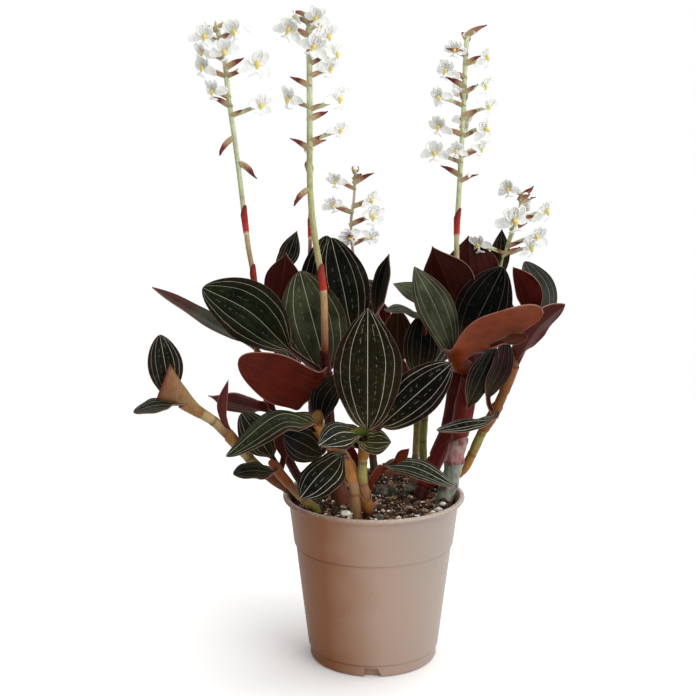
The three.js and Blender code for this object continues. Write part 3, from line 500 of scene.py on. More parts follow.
# ------------------------------------------------------------------------------ the stems
# Fleshy creeping stems that root in the mix and turn up at their ends. Each is jointed every 15 mm or
# so, with a ring where a leaf stood, and runs from tan or olive at the soil to the colour of its shoot.
STEM_FOOT, STEM_STEP = 84, 12
STEMS = {
    "shoot_low_left": dict(
        radius=3.4, foot=(-47, 4),
        bends=[(-58, -8, 117), (-74, -14, 131), (-84, -17, 143), (-101, -20, 163), (-120, -26, 177)],
        joints=17, scar="#5A3A20", clasp="#8A6238",
        skin=[(0, "#4A3C20"), (0.28, "#5E3E1E"), (0.45, "#62351C"), (0.62, "#8E8050"), (0.72, "#6E4422"),
              (0.84, "#A8946A"), (1, "#8E6A40")]),
    "shoot_left": dict(
        radius=2.7, foot=(-37, -30), bends=[(-46, -35, 118), (-59, -32, 132), (-65, -29, 140)],
        joints=15, scar="#5E3A1C", clasp="#7A421E",
        skin=[(0, "#5E6428"), (0.42, "#6E6A2E"), (0.58, "#7A5A36"), (0.8, "#6C4630"), (1, "#5A3220")]),
    "shoot_front_left": dict(
        radius=3.7, foot=(-12, -41),
        bends=[(-13, -44, 130), (-20, -43, 148), (-30, -40, 158), (-35, -37, 167)],
        joints=16, scar="#6A4A26", clasp="#A87038",
        skin=[(0, "#4A4428"), (0.2, "#6A6038"), (0.3, "#846642"), (0.42, "#956E4E"), (0.55, "#9C7656"),
              (0.7, "#94784C"), (0.85, "#8A6840"), (1, "#74502E")]),
    "shoot_front": dict(
        radius=3.0, foot=(-4, -37), bends=[(-5, -42, 116), (-8, -46, 136), (-7, -46, 155), (-6, -45, 166)],
        joints=14, scar="#6A4A26", clasp="#8A5A28",
        skin=[(0, "#40301E"), (0.3, "#5E3E28"), (0.45, "#7E5236"), (0.58, "#8A6242"), (0.64, "#86824A"),
              (0.8, "#847A44"), (0.86, "#80552C"), (1, "#6E4420")]),
    "shoot_centre_left": dict(
        radius=3.2, foot=(-40, 12), bends=[(-52, 14, 120), (-64, 16, 148), (-72, 16, 178), (-77, 14, 205)],
        joints=18, scar="#4A1C12", clasp="#320A06", skin=[(0, "#3A2418"), (0.35, "#3A100A"), (1, "#3A0A06")]),
    "shoot_centre": dict(
        radius=3.6, foot=(-22, -6), bends=[(-26, -4, 130), (-29, -3, 160), (-31, -4, 190), (-32, -6, 210)],
        joints=18, scar="#3E140C", clasp="#300A06", skin=[(0, "#3A2A1C"), (0.35, "#44120E"), (1, "#3A0C08")]),
    "shoot_back_left": dict(
        radius=2.7, foot=(-34, 32), bends=[(-38, 34, 130), (-42, 36, 180), (-43, 36, 225)],
        joints=18, scar="#4A2C1E", clasp="#441814", skin=[(0, "#4A3C22"), (0.4, "#5E4028"), (1, "#5E261C")]),
    "shoot_middle_back": dict(
        radius=2.6, foot=(28, 34),
        bends=[(30, 34, 138), (29, 33, 165), (18, 31, 195), (2, 30, 222), (-8, 32, 240)],
        joints=17, scar="#8A6A4A", clasp="#4A1410",
        skin=[(0, "#7A7440"), (0.22, "#B09878"), (0.32, "#A0905A"), (0.42, "#75703A"), (0.52, "#5E2018"),
              (1, "#5A1814")]),
    "shoot_middle": dict(
        radius=2.7, foot=(35, 20), bends=[(34, 27, 137), (35, 22, 165), (36, 14, 184), (32, 8, 199)],
        joints=16, scar="#6E5A34", clasp="#4A1410",
        skin=[(0, "#5E5A34"), (0.35, "#7E8648"), (0.55, "#7A8040"), (0.68, "#6A2A1E"), (1, "#4E1410")]),
    "shoot_right": dict(
        radius=4.6, foot=(31, 3),
        bends=[(34, 7, 116), (43, 11, 134), (51, 12, 154), (55, 13, 180), (57, 15, 210)],
        joints=18, scar="#360A08", clasp="#2E0805", skin=[(0, "#4A2418"), (0.3, "#4E120C"), (1, "#3A0805")]),
    "shoot_right_sheathed": dict(
        radius=4.8, foot=(45, -13),
        bends=[(50, -10, 124), (55, -8, 149), (59, -5, 172), (64, 4, 194), (70, 22, 222)],
        joints=18, scar="#360A08", clasp="#300805",
        skin=[(0, "#565A40"), (0.2, "#6A7058"), (0.34, "#7A5A50"), (0.44, "#6E2A22"), (1, "#3E0A06")]),
    "shoot_far_right": dict(
        radius=3.1, foot=(46, 12),
        bends=[(53, 9, 118), (60, 7, 125), (65, 4, 136), (71, 0, 152), (78, -4, 166), (84, -5, 180),
               (91, -6, 202)],
        joints=17, scar="#6A4020", clasp="#7A4A22",
        skin=[(0, "#6A4A2A"), (0.25, "#8E5C30"), (0.42, "#946A34"), (0.56, "#7E7E42"), (0.68, "#7C7C3E"),
              (0.76, "#744C26"), (1, "#5E3418")]),
    "shoot_back": dict(
        radius=2.8, foot=(2, 40), bends=[(0, 46, 125), (-3, 50, 155), (-4, 52, 180)],
        joints=16, scar="#3E2A1A", clasp="#4A281C", skin=[(0, "#4A3C22"), (0.5, "#4A361C"), (1, "#4E2A1C")]),
    "shoot_young": dict(
        radius=2.2, foot=(-6, -4), bends=[(-5, -5, 112), (0, -9, 124), (6, -12, 133)],
        joints=12, scar="#7A4A2A", clasp="#8E4028", skin=[(0, "#5E4A2C"), (0.55, "#744028"), (1, "#7A2A1E")]),
}


def along_curve(points, shares):
    """Places on the smooth curve through the points, and its direction there, at shares of its steps."""
    points = np.array(points, float)
    ends = np.vstack([2 * points[0] - points[1], points, 2 * points[-1] - points[-2]])
    steps = np.clip(np.asarray(shares, float), 0, 1) * (len(points) - 1)
    i = np.minimum(steps.astype(int), len(points) - 2)
    f = (steps - i)[:, None]
    p0, p1, p2, p3 = ends[i], ends[i + 1], ends[i + 2], ends[i + 3]
    bend, twist = 2 * p0 - 5 * p1 + 4 * p2 - p3, 3 * p1 - p0 - 3 * p2 + p3
    place = 0.5 * (2 * p1 + (p2 - p0) * f + bend * f ** 2 + twist * f ** 3)
    heading = 0.5 * (p2 - p0 + 2 * bend * f + 3 * twist * f ** 2)
    return place, heading / np.linalg.norm(heading, axis=1)[:, None]


def measured(points, start=0.0, end=1.0, count=200):
    """Even places along a curve from a share of its length to another: places, directions, millimetres."""
    place, heading = along_curve(points, np.linspace(0, 1, count))
    run = np.concatenate([[0], np.cumsum(np.linalg.norm(np.diff(place, axis=0), axis=1))])
    want = np.linspace(start * run[-1], end * run[-1], count)
    pick = lambda rows: np.column_stack([np.interp(want, run, rows[:, k]) for k in range(3)])
    place, heading = pick(place), pick(heading)
    return place, heading / np.linalg.norm(heading, axis=1)[:, None], want


def rod(name, path, radius, sides, rings, capped=True):
    """A round form along a path of measured places: a cylinder cut into rings, each set across the path.
    radius gives millimetres from the share along, the millimetres along and the angle round the rod."""
    bpy.ops.mesh.primitive_cylinder_add(vertices=sides, radius=1, depth=2,
                                        end_fill_type="NGON" if capped else "NOTHING")
    piece = added(name)
    for line in piece.data.edges:
        a, b = (piece.data.vertices[v].co.z for v in line.vertices)
        line.select = abs(a - b) > 1
    for face in piece.data.polygons:
        face.select = False
    bpy.ops.object.mode_set(mode="EDIT")
    bpy.ops.mesh.select_mode(type="EDGE")
    bpy.ops.mesh.subdivide(number_cuts=rings - 1)
    bpy.ops.object.mode_set(mode="OBJECT")
    place, heading, run = path
    across = np.empty_like(heading)
    across[0] = np.cross(heading[0], [0.9, 0.1, 0.42])
    for i in range(1, len(heading)):
        across[i] = across[i - 1] - heading[i] * np.dot(across[i - 1], heading[i])
    across /= np.linalg.norm(across, axis=1)[:, None]
    beside = np.cross(heading, across)
    start = corners(piece) * MM
    share = (start[:, 2] + 1) / 2
    angle = np.arctan2(start[:, 1], start[:, 0])
    at = share * (len(run) - 1)
    low = np.minimum(at.astype(int), len(run) - 2)
    f = (at - low)[:, None]
    blend = lambda rows: rows[low] * (1 - f) + rows[low + 1] * f
    reach = radius(share, np.interp(share, np.linspace(0, 1, len(run)), run), angle)[:, None]
    way = np.cos(angle)[:, None] * blend(across) + np.sin(angle)[:, None] * blend(beside)
    reshape(piece, blend(place) + way * reach)
    return marked(piece, share=share)


def tinted(piece, stops, steps=()):
    """Gives a piece its skin's colours, from (share along, colour) stops, and darker rings from steps."""
    shares = values_of(piece, "share")
    at, codes = [stop[0] for stop in stops], np.array([linear(stop[1]) for stop in stops])
    colour = np.column_stack([np.interp(shares, at, codes[:, k]) for k in range(4)])
    for height, code, wide in steps:
        weight = np.exp(-((shares - height) / wide) ** 2)[:, None]
        colour = colour * (1 - weight) + np.array(linear(code)) * weight
    return coloured(piece, "skin", colour)


def stem_points(stem):
    """A stem stands upright in the mix and bends only above it."""
    x, y = stem["foot"]
    return [(x, y, STEM_FOOT + step * STEM_STEP) for step in range(3)] + stem["bends"]


stems = {}
for name, stem in STEMS.items():
    thick, joints = stem["radius"], stem["joints"]

    def stem_radius(share, run, angle):
        """Swells at each joint, with a groove beside it, and closes at the end."""
        swell = np.exp(-((run % joints - joints / 2) / 1.1) ** 2)
        groove = np.exp(-((run % joints - joints / 2 - 1.6) / 0.6) ** 2)
        waist = 0.04 * np.cos(2 * math.pi * run / joints)
        closing = np.sqrt(np.clip((1 - share) / 0.03, 0.02, 1))
        return thick * (1 + 0.06 * swell - 0.04 * groove + waist) * closing

    path = measured(stem_points(stem))
    piece = rod(name + "_stem", path, stem_radius, sides=16, rings=90)
    length = path[2][-1]
    scars = [((i + 0.5) * joints / length, stem["scar"], 0.9 / length) for i in range(int(length / joints))]
    stems[name] = [tinted(piece, stem["skin"], scars)]

# Older sheaths wrap three of the stems in layers: from and to along the stem, how far they stand off
# it, which way their mouth rises, and their colour.
WRAPS = {
    "shoot_centre": [(3, 34, 2.0, (-5, -5, 0), "#6A3E2C"), (3, 46, 1.0, (6, -4, 0), "#521E16")],
    "shoot_right": [(30, 58, 0.7, (12, -6, 0), "#6A1E18"), (52, 84, 0.7, (-14, -6, 0), "#5E1810"),
                    (74, 112, 1.1, (12, -6, 0), "#460C08")],
    "shoot_right_sheathed": [(70, 92, 0.8, (-13, -8, 0), "#6A2218"), (78, 106, 1.4, (16, -8, 0), "#5C1A12"),
                             (96, 128, 1.1, (-12, -8, 0), "#4E120C")],
}
# One stem keeps a dead sheath, from and to along it, round a middle seen from above. Then come the
# heights of its joints, of the lowest and highest of its colours and of its mouth, and its colours.
DRY_SHEATH, SHEATH_MIDDLE = ("shoot_right_sheathed", 22, 65), (50, -11)
SHEATH_JOINTS, SHEATH_LOW, SHEATH_HIGH, SHEATH_MOUTH = (119, 134, 148), 100, 160, 157
SHEATH_BANDS = [(0.27, "#5E6450"), (0.31, "#302C22"), (0.36, "#62665A"), (0.53, "#6A6C60"), (0.57, "#4A2624"),
                (0.61, "#8E4A4C"), (0.76, "#8A5450"), (0.8, "#5E2422"), (0.85, "#7A3A36")]


def sheath(name, points, start, end, off, slant, finishes, thick=0.45, sides=20, rings=18, flare=0.3,
           late=1.6):
    """A sheath round a stem, from and to along it, off millimetres proud, that widens by flare to a slanted
    open mouth, the later the higher late is. Its walls and its edge take the first and the second finish."""
    place, heading, run = measured(points)
    lengths = run[-1]
    path = measured(points, start / lengths, min(end, lengths) / lengths)

    def opening(share, run, angle):
        return off + flare * share ** late - 0.3 * np.exp(-(share / 0.06) ** 2)

    wrap = rod(name, path, opening, sides, rings, capped=False)
    shares = values_of(wrap, "share")
    shape = corners(wrap)
    at = (shares * (len(path[0]) - 1)).astype(int)
    outward = shape - path[0][at]
    outward /= np.linalg.norm(outward, axis=1)[:, None]
    reshape(wrap, shape + path[1][at] * ((outward @ np.array(slant, float)) * shares ** 2)[:, None])
    for finish_ in finishes:
        wrap.data.materials.append(finish_)
    return modified(wrap, "SOLIDIFY", thickness=thick * MM, offset=0, material_offset_rim=1)


# Fleshy stem skin: glossy and a little translucent, streaked lengthwise, in the colours of each shoot.
stem_skin, tree, shader = finish("fleshy_stem_skin", Roughness=0.38, IOR=1.36, Specular_IOR_Level=0.25,
                                 Subsurface_Weight=0.12, Subsurface_Scale=1.5 * MM)
spot = node(tree, "TexCoord", out="Object")
skin = node(tree, "Attribute", attribute_name="skin", out="Color")
stretch = node(tree, "Mapping", ("Vector", spot), ("Scale", (1, 1, 0.22)))
streaks = node(tree, "TexNoise", ("Vector", stretch), ("Scale", 1 / (1.1 * MM)), ("Detail", 4))
blotches = node(tree, "TexNoise", ("Vector", spot), ("Scale", 1 / (7 * MM)), ("Detail", 3))
shade = node(tree, "MapRange", ("Value", streaks), ("From Min", 0.3), ("From Max", 0.7), ("To Min", 0.76),
             ("To Max", 1.16))
streaked = node(tree, "Mix", (0, 1.0), (6, skin), (7, shade), data_type="RGBA", blend_type="MULTIPLY", out=2)
ruddy = node(tree, "MapRange", ("Value", blotches), ("From Min", 0.5), ("From Max", 0.75), ("To Max", 0.3))
flushed = node(tree, "Mix", (0, ruddy), (6, streaked), (7, linear("#6A2A1C")), data_type="RGBA", out=2)
tree.links.new(flushed, shader.inputs["Base Color"])
ribbed = node(tree, "Bump", ("Height", streaks), ("Strength", 0.35), ("Distance", 0.3 * MM))
tree.links.new(ribbed, shader.inputs["Normal"])

# The thin edge of a sheath: patchy pink, from dull red to pale.
sheath_margin, tree, shader = finish("sheath_margin", Roughness=0.5, Specular_IOR_Level=0.35)
spot = node(tree, "TexCoord", out="Object")
patchy = node(tree, "TexNoise", ("Vector", spot), ("Scale", 1 / (3 * MM)))
pink = node(tree, "Mix", (0, patchy), (6, linear("#8E4A42")), (7, linear("#D0A69A")), data_type="RGBA", out=2)
tree.links.new(pink, shader.inputs["Base Color"])

# A dead sheath: papery skin over a jointed stem, grey-green and mossy low down, blotched red and grey
# above, with a dark line at each joint. Its thin dry film shines more than living skin.
papery_sheath, tree, shader = finish("papery_dead_sheath", Roughness=0.34, Specular_IOR_Level=0.5)
spot = node(tree, "TexCoord", out="Object")
stretch = node(tree, "Mapping", ("Vector", spot), ("Scale", (1, 1, 0.2)))
fibres = node(tree, "TexNoise", ("Vector", stretch), ("Scale", 1 / (2.4 * MM)), ("Detail", 5))
patches = node(tree, "TexNoise", ("Vector", spot), ("Scale", 1 / (4 * MM)), ("Detail", 3))
height = node(tree, "SeparateXYZ", ("Vector", spot), out=2)
ragged = node(tree, "MapRange", ("Value", fibres), ("To Min", -2.5 * MM), ("To Max", 2.5 * MM))
height = node(tree, "Math", (0, height), (1, ragged), operation="ADD")
height = node(tree, "MapRange", ("Value", height), ("From Min", SHEATH_LOW * MM),
              ("From Max", SHEATH_HIGH * MM))
bands = node(tree, "ValToRGB", (0, height))
stops = bands.node.color_ramp.elements
stops[0].color, stops[1].color = linear("#5A6250"), linear("#6E2A26")
for position, code in SHEATH_BANDS:
    stops.new(position).color = linear(code)
film = node(tree, "MapRange", ("Value", patches), ("From Min", 0.42), ("From Max", 0.66), ("To Max", 0.55))
filmed = node(tree, "Mix", (0, film), (6, bands), (7, linear("#9C968A")), data_type="RGBA", out=2)
shade = node(tree, "MapRange", ("Value", fibres), ("From Min", 0.3), ("From Max", 0.7), ("To Min", 0.8),
             ("To Max", 1.15))
shown = node(tree, "Mix", (0, 1.0), (6, filmed), (7, shade), data_type="RGBA", blend_type="MULTIPLY", out=2)
tree.links.new(shown, shader.inputs["Base Color"])
creased = node(tree, "Bump", ("Height", fibres), ("Strength", 0.3), ("Distance", 0.4 * MM))
tree.links.new(creased, shader.inputs["Normal"])

for name, pieces in stems.items():
    for piece in pieces:
        piece.data.materials.append(stem_skin)
for name, wraps in WRAPS.items():
    for start, end, off, slant, code in wraps:
        wrap = sheath("wrap", stem_points(STEMS[name]), start, end, STEMS[name]["radius"] + off, slant,
                      (stem_skin, sheath_margin), thick=0.8)
        stems[name].append(tinted(wrap, [(0, code), (1, code)]))
name, start, end = DRY_SHEATH
dry = sheath("dry_sheath", stem_points(STEMS[name]), start, end, STEMS[name]["radius"] + 0.5, (3, -4, 0),
             (papery_sheath, papery_sheath), thick=0.3, sides=40, rings=60, flare=0.5)
shape = corners(dry)
around = np.arctan2(shape[:, 1] - SHEATH_MIDDLE[1], shape[:, 0] - SHEATH_MIDDLE[0])
crumple = 0.2 * np.sin(9 * around + shape[:, 2] * 0.11) + 0.4 * lumpy(shape, 4)
crumple += sum(0.8 * np.exp(-((shape[:, 2] - joint) / 2.2) ** 2) for joint in SHEATH_JOINTS)
crumple *= np.clip((SHEATH_MOUTH - shape[:, 2]) / 14, 0.1, 1)
reshape(dry, shape + np.column_stack([np.cos(around), np.sin(around), 0 * around]) * crumple[:, None])
stems[name].append(dry)
for name, pieces in stems.items():
    fitted(smooth(joined(name + "_stem", pieces), 50), name, "foliage")

# ------------------------------------------------------------------------------ the leaves
# Velvety jewel orchid leaves, 0.7 mm thick: near-black green above with a net of fine silver veins that
# run from the base to the point, maroon below. Each sits on a short channelled stalk whose root clasps
# the stem.
LEAF_STALK, LEAF_COLUMNS, NARROW_COLUMNS, LEAF_ROWS, STALK_ROWS, LEAF_THICK = 3.2, 24, 16, 44, 0.16, 0.7
LEAVES = {
    "shoot_low_left": [
        dict(root=(-118, -26, 176), base=(-129, -25, 182), tip=(-136, -18, 220), face=(0.2, -1, 0.3),
             width=22, upper="#1A180F", under="#3A0E08", veins=0.55, order=7),
        dict(root=(-118, -26, 176), base=(-126, -29, 177), tip=(-151, -36, 174), face=(0, -0.35, 1),
             width=16, bow=2, upper="#141412", under="#3A0E08", veins=0.35),
        dict(root=(-92, -18, 154), base=(-95.4, -22, 163), middle=(-97, -24, 176), tip=(-92.6, -24, 192.4),
             face=(0.1, 1, 0), width=6.5, fold=0.3, point=1, upper="#1E0C09", under="#4E2420", veins=0),
    ],
    "shoot_left": [
        dict(root=(-62, -30, 136), base=(-64, -40, 136), tip=(-88, -50, 138), face=(0, -0.35, 1),
             width=19, bow=2, upper="#0E0F0A", under="#3A0E08", veins=0.25),
        dict(root=(-61, -30, 135), base=(-66, -22, 141), tip=(-85, -17, 169), face=(0.4, -0.9, 0.5),
             width=24, point=0.5, upper="#24220F", under="#3A0E08", veins=0.4),
        dict(root=(-60, -29, 134), base=(-58, -24, 142), tip=(-58, -20, 163), face=(0, 1, 0.2),
             width=13, upper="#1E0C09", under="#3E160E", veins=0),
    ],
    "shoot_front_left": [
        dict(root=(-33, -38, 163), base=(-38.5, -37, 166.5), middle=(-60.2, -46, 174.5),
             tip=(-91.7, -56, 151.2),
             face=(-0.1, -0.42, 1), width=25, fold=-0.3, broad=0.6, upper="#262B16", under="#5E2A18",
             veins=0.5,
             order=3),
        dict(root=(-16, -43, 143), base=(-20.7, -49, 149), tip=(-45.5, -68, 128.6), face=(-0.4, -0.65, 0.7),
             width=30, bow=3, fold=-0.15, upper="#11120E", under="#3A0E08", veins=0.95, order=2),
        dict(root=(-30, -40, 158), base=(-33.3, -40, 149), tip=(-57, -42, 161.5), face=(-0.3, -0.8, 0.5),
             width=24, upper="#08090A", under="#3A0E08", veins=0.2),
    ],
    "shoot_front": [
        dict(root=(-6, -45, 160), base=(-5, -47, 167), tip=(-5, -50, 242), face=(0, -1, 0.12),
             width=42, broad=0.75, point=0.84, upper="#1E1B09", under="#3A0E08", veins=0.9, order=0),
        dict(root=(-6, -45, 161), base=(4, -44, 168), tip=(46, -50, 208), face=(0.2, -0.85, 0.5),
             width=29, broad=0.6, upper="#0F0D08", under="#3A0E08", veins=0.75, order=4),
        dict(root=(-7, -46, 158), base=(-10.5, -51, 163.5), middle=(-22, -58, 166.5), tip=(-34.5, -65, 160.5),
             face=(-0.15, -0.7, 0.7), width=22, fold=-0.2, point=0.8, upper="#20261F", under="#4A1A12",
             veins=1,
             order=5),
        dict(root=(-7, -50, 159), base=(-5, -56, 160), middle=(1, -61, 161), tip=(9.2, -63, 162),
             face=(-0.1, -0.75, 0.65), width=17, fold=0.25, neck=9, broad=0.4, point=0.9, upper="#242A0C",
             under="#4A4A16", veins=0.5),
        dict(root=(-10, -36, 124), base=(-14.5, -30, 127), tip=(-15.7, -32, 152), face=(0, -1, 0),
             width=11, broad=0.4, upper="#4A0806", under="#4A0806", veins=0),
    ],
    "shoot_centre_left": [
        dict(root=(-76, 15, 196), base=(-80, 20, 204), tip=(-145, 14, 246), face=(0.1, -0.3, 1),
             width=20, fold=0.25, point=0.9, upper="#464A3C", under="#3E1410", veins=0.1, far_end="#4E241E"),
        dict(root=(-67, 16, 160), base=(-70.6, 0, 166), tip=(-107, -12, 179.3), face=(0, 0.75, 0.65),
             width=21, broad=0.5, point=1.7, upper="#14160D", under="#440F08", veins=0.2),
    ],
    "shoot_centre": [
        dict(root=(-30, -2, 186), base=(-31, 5, 191), tip=(-48, 3, 258), face=(-0.1, -1, 0.15),
             width=43, upper="#43472F", under="#3A0E08", veins=0.9, order=1),
        dict(root=(-31, -6, 178), base=(-34, -13, 180), middle=(-57, -19, 191), tip=(-86, -20, 205),
             face=(-0.1, 0.9, 0.35), width=35, fold=-0.1, neck=20, broad=0.3, point=0.5, upper="#14160D",
             under="#54180A", veins=0.2),
        dict(root=(-32, -3, 192), base=(-55, 2, 207), tip=(-110, -2, 248), face=(-0.1, -1, 0.35),
             width=39, bow=2, sway=5, upper="#131B07", under="#3A0E08", veins=0.5, order=6),
        dict(root=(-28, -8, 188), base=(-20.8, -16, 192), middle=(-31, -18, 181), tip=(-35.6, -20, 164.4),
             face=(-0.3, -0.9, 0.3), width=19, upper="#0A0608", under="#3A0E08", veins=0.12),
    ],
    "shoot_back_left": [
        dict(root=(-43, 36, 216), base=(-62, 40, 250), tip=(-51.2, 44, 280.2), face=(-0.2, -1, 0.1),
             width=14, point=1.1, upper="#1C1A0C", under="#3A0E08", veins=0.25),
        dict(root=(-42, 35, 205), base=(-64, 30, 224), tip=(-57.8, 26, 267.5), face=(0.25, 1, 0),
             width=27, fold=0.3, broad=0.6, point=1.3, upper="#14160D", under="#3C100C", veins=0.3),
        dict(root=(-42, 34, 208), base=(-36, 28, 222), tip=(-31, 32, 278), face=(0.1, -1, 0.1),
             width=30, upper="#10120A", under="#3A0E08", veins=0.5),
        dict(root=(-41, 35, 170), base=(-52, 44, 186), tip=(-78, 64, 216), face=(-0.5, 0.4, 0.8),
             width=32, bow=3, upper="#12140C", under="#3A0E08", veins=0.6),
        dict(root=(-40, 35, 160), base=(-36, 48, 176), tip=(-28, 80, 204), face=(0, 0.5, 0.8),
             width=32, bow=3, upper="#12140C", under="#3A0E08", veins=0.6),
    ],
    "shoot_middle_back": [
        dict(root=(21, 32, 190), base=(16, 24, 192), tip=(16, 22, 230), face=(0, 1, 0.1),
             width=21, upper="#14160D", under="#2C1608", veins=0.5),
        dict(root=(0, 30, 224), base=(2, 22, 228), tip=(10, 22, 267), face=(-0.8, -0.6, 0.1),
             width=17, fold=0.3, point=1.1, upper="#0C0A08", under="#4E2C2C", veins=0.1),
        dict(root=(-4, 31, 232), base=(-13, 22, 214), tip=(-28, 18, 278), face=(0, -1, 0.15),
             width=35, upper="#12150B", under="#3A0E08", veins=0.7, order=2),
        dict(root=(6, 30, 216), base=(2, 46, 222), tip=(-14, 76, 244), face=(-0.1, -0.2, 1),
             width=30, bow=3, upper="#12140C", under="#3A0E08", veins=0.6),
        dict(root=(27, 33, 172), base=(34, 48, 182), tip=(46, 78, 200), face=(0.2, 0.4, 0.9),
             width=30, bow=3, upper="#12140C", under="#3A0E08", veins=0.6),
    ],
    "shoot_middle": [
        dict(root=(34, 11, 191), base=(29.5, 5, 190), tip=(31.6, 4, 230), face=(0.1, -1, 0.1),
             width=23, broad=0.6, upper="#050403", under="#240604", veins=0.12),
        dict(root=(32, 9, 197), base=(31, 2, 224), tip=(6, -4, 234), face=(0, -0.2, 1),
             width=16, bow=7, fold=-0.2, upper="#33382E", under="#3A0E08", veins=0.2),
    ],
    "shoot_right": [
        dict(root=(55, 13, 192), base=(49.6, -8, 208), middle=(38.5, -14, 237), tip=(24.4, -18, 263.6),
             face=(-0.3, -0.95, 0.2), width=24, neck=6, broad=0.7, point=0.9, upper="#565A42",
             under="#42140C",
             veins=0.5, order=4),
        dict(root=(56, 13, 206), base=(44, 6, 236), tip=(12, 2, 250), face=(0.1, -0.8, 0.5),
             width=14, point=1, upper="#5A6046", under="#3A0E08", veins=0.15),
        dict(root=(57, 15, 206), base=(59, 14, 224), tip=(36.9, 4, 274), face=(0.2, 1, -0.1),
             width=35, point=1.25, upper="#14160D", under="#2E0E08", veins=0.2),
        dict(root=(56, 12, 196), base=(58, 4, 208), tip=(83, 6, 260), face=(-0.2, -1, 0.2),
             width=36, upper="#070806", under="#240604", veins=0.16),
    ],
    "shoot_right_sheathed": [
        dict(root=(60, -4, 192), base=(55, -15, 201), middle=(71, -31, 225.5), tip=(100.5, -44, 241.5),
             face=(-0.3, 0.8, 0.6), width=34, fold=-0.04, neck=12, broad=0.35, point=0.42, upper="#6A4038",
             under="#6A2A0A", veins=0),
        dict(root=(66, 10, 202), base=(66.5, 24, 236), tip=(62.2, 28, 278.6), face=(0, 1, 0),
             width=37, point=1.25, upper="#14160D", under="#36100A", veins=0.2),
        dict(root=(69, 18, 214), base=(83, 30, 248), tip=(85.2, 34, 282.5), face=(-0.1, -1, 0),
             width=13, point=1.1, upper="#1A1208", under="#300A05", veins=0.1),
        dict(root=(58, -4, 165), base=(60.5, -12, 174), tip=(76, -18, 213), face=(0.4, -0.9, 0.2),
             width=19, upper="#080707", under="#3A0E08", veins=0.1),
        dict(root=(66, 8, 200), base=(74, 34, 214), tip=(88, 70, 230), face=(0.2, 0.3, 0.9),
             width=32, bow=3, upper="#12140C", under="#3A0E08", veins=0.6),
        dict(root=(72, -28, 215), base=(78.5, -34, 219), tip=(93.5, -38, 222.4), face=(0.1, -1, 0.2),
             width=7, fold=-0.2, point=0.4, upper="#50221C", under="#50221C", veins=0),
    ],
    "shoot_far_right": [
        dict(root=(87, -5, 192), base=(92.5, -6, 202), middle=(104, -10, 223), tip=(121, -10, 238.4),
             face=(-0.5, 0.8, 0.5), width=25, fold=0.25, broad=0.6, point=0.7, upper="#5A4442",
             under="#3C0E08",
             veins=0.1),
        dict(root=(87, -6, 190), base=(101.5, 8, 216), middle=(108, 8, 240), tip=(97, 8, 263.5),
             face=(0.4, -0.9, 0.2), width=25, fold=0.15, upper="#3A3F36", under="#561610", veins=0.3,
             order=4),
        dict(root=(79, -4, 162), base=(72.6, -10, 178), middle=(80.5, -13, 197.5), tip=(84.2, -9, 216.5),
             face=(0.5, -0.9, 0.1), width=17, fold=0.2, point=0.7, upper="#1E080A", under="#3A0E08",
             veins=0.06),
        dict(root=(80, -5, 168), base=(76, -14, 164), tip=(39, -30, 161), face=(0.1, -0.4, 1),
             width=13, bow=2, fold=-0.3, upper="#1A1C16", under="#3A0E08", veins=0.7),
        dict(root=(88, -4, 196), base=(100, 1, 225), middle=(99, -1, 245), tip=(88.7, 0, 261),
             face=(0.2, 0.9, 0.1), width=17, point=0.9, upper="#14160D", under="#3E0C07", veins=0.1),
    ],
    "shoot_back": [
        dict(root=(-3, 50, 158), base=(-14, 60, 164), tip=(-48, 86, 170), face=(-0.1, 0.5, 0.9),
             width=32, bow=5, upper="#12140C", under="#3A0E08", veins=0.6),
        dict(root=(-3, 51, 166), base=(10, 60, 170), tip=(40, 92, 172), face=(0.1, 0.5, 0.9),
             width=32, bow=5, upper="#12140C", under="#3A0E08", veins=0.6),
        dict(root=(-4, 52, 172), base=(-6, 60, 184), tip=(-6, 84, 218), face=(0, 0.7, -0.6),
             width=34, bow=-2, upper="#12140C", under="#3A0E08", veins=0.6),
        dict(root=(-4, 52, 176), base=(-2, 58, 190), tip=(6, 66, 229), face=(0.2, 1, 0),
             width=26, upper="#12140C", under="#3A0E08", veins=0.6),
    ],
    "shoot_young": [
        dict(root=(5, -10, 130), base=(7, -14, 133), middle=(26, -24, 134.5), tip=(49.5, -32, 125),
             face=(0.1, -0.5, 0.9), width=18, upper="#2C3426", under="#4A1810", veins=0.9, order=2),
        dict(root=(5, -10, 130), base=(13, -16, 136), tip=(22.5, -18, 146), face=(0.2, -1, 0.2),
             width=7, point=1.2, upper="#701A14", under="#761A14", veins=0),
    ],
}


# The youngest leaf of a shoot opens out of a flat funnel that the next leaf's root makes: its spine,
# radius, flare, the way its mouth rises, its colour and the colour of its mouth.
FUNNELS = {
    "shoot_low_left": [([(-105, -21.4, 166.4), (-114, -24, 173.5), (-123, -26.5, 182.5),
                         (-133.5, -27, 191.5)],
                        3.0, 9, (2.4, 0, 3.3), "#8A7048", "#82583E")],
    "shoot_front": [([(-6, -46, 155), (-7, -49, 157), (-8, -53, 159.5), (-10, -56, 163)],
                     3.2, 4.6, (-2.5, 1.5, 1), "#2E3814", "#5E6E2C")],
    "shoot_front_left": [([(-31, -39, 158), (-35, -38, 163), (-37, -37, 169)],
                          3.6, 1.6, (3, 6, 0), "#6A4A1E", "#7E6A30")],
}


def grid(name, columns, rows):
    """A flat grid under its name, with the place of each point across (-1 to 1) and along (0 to 1)."""
    bpy.ops.mesh.primitive_grid_add(x_subdivisions=columns, y_subdivisions=rows, size=2)
    piece = added(name)
    flat = corners(piece) * MM
    return piece, flat[:, 0], (flat[:, 1] + 1) / 2


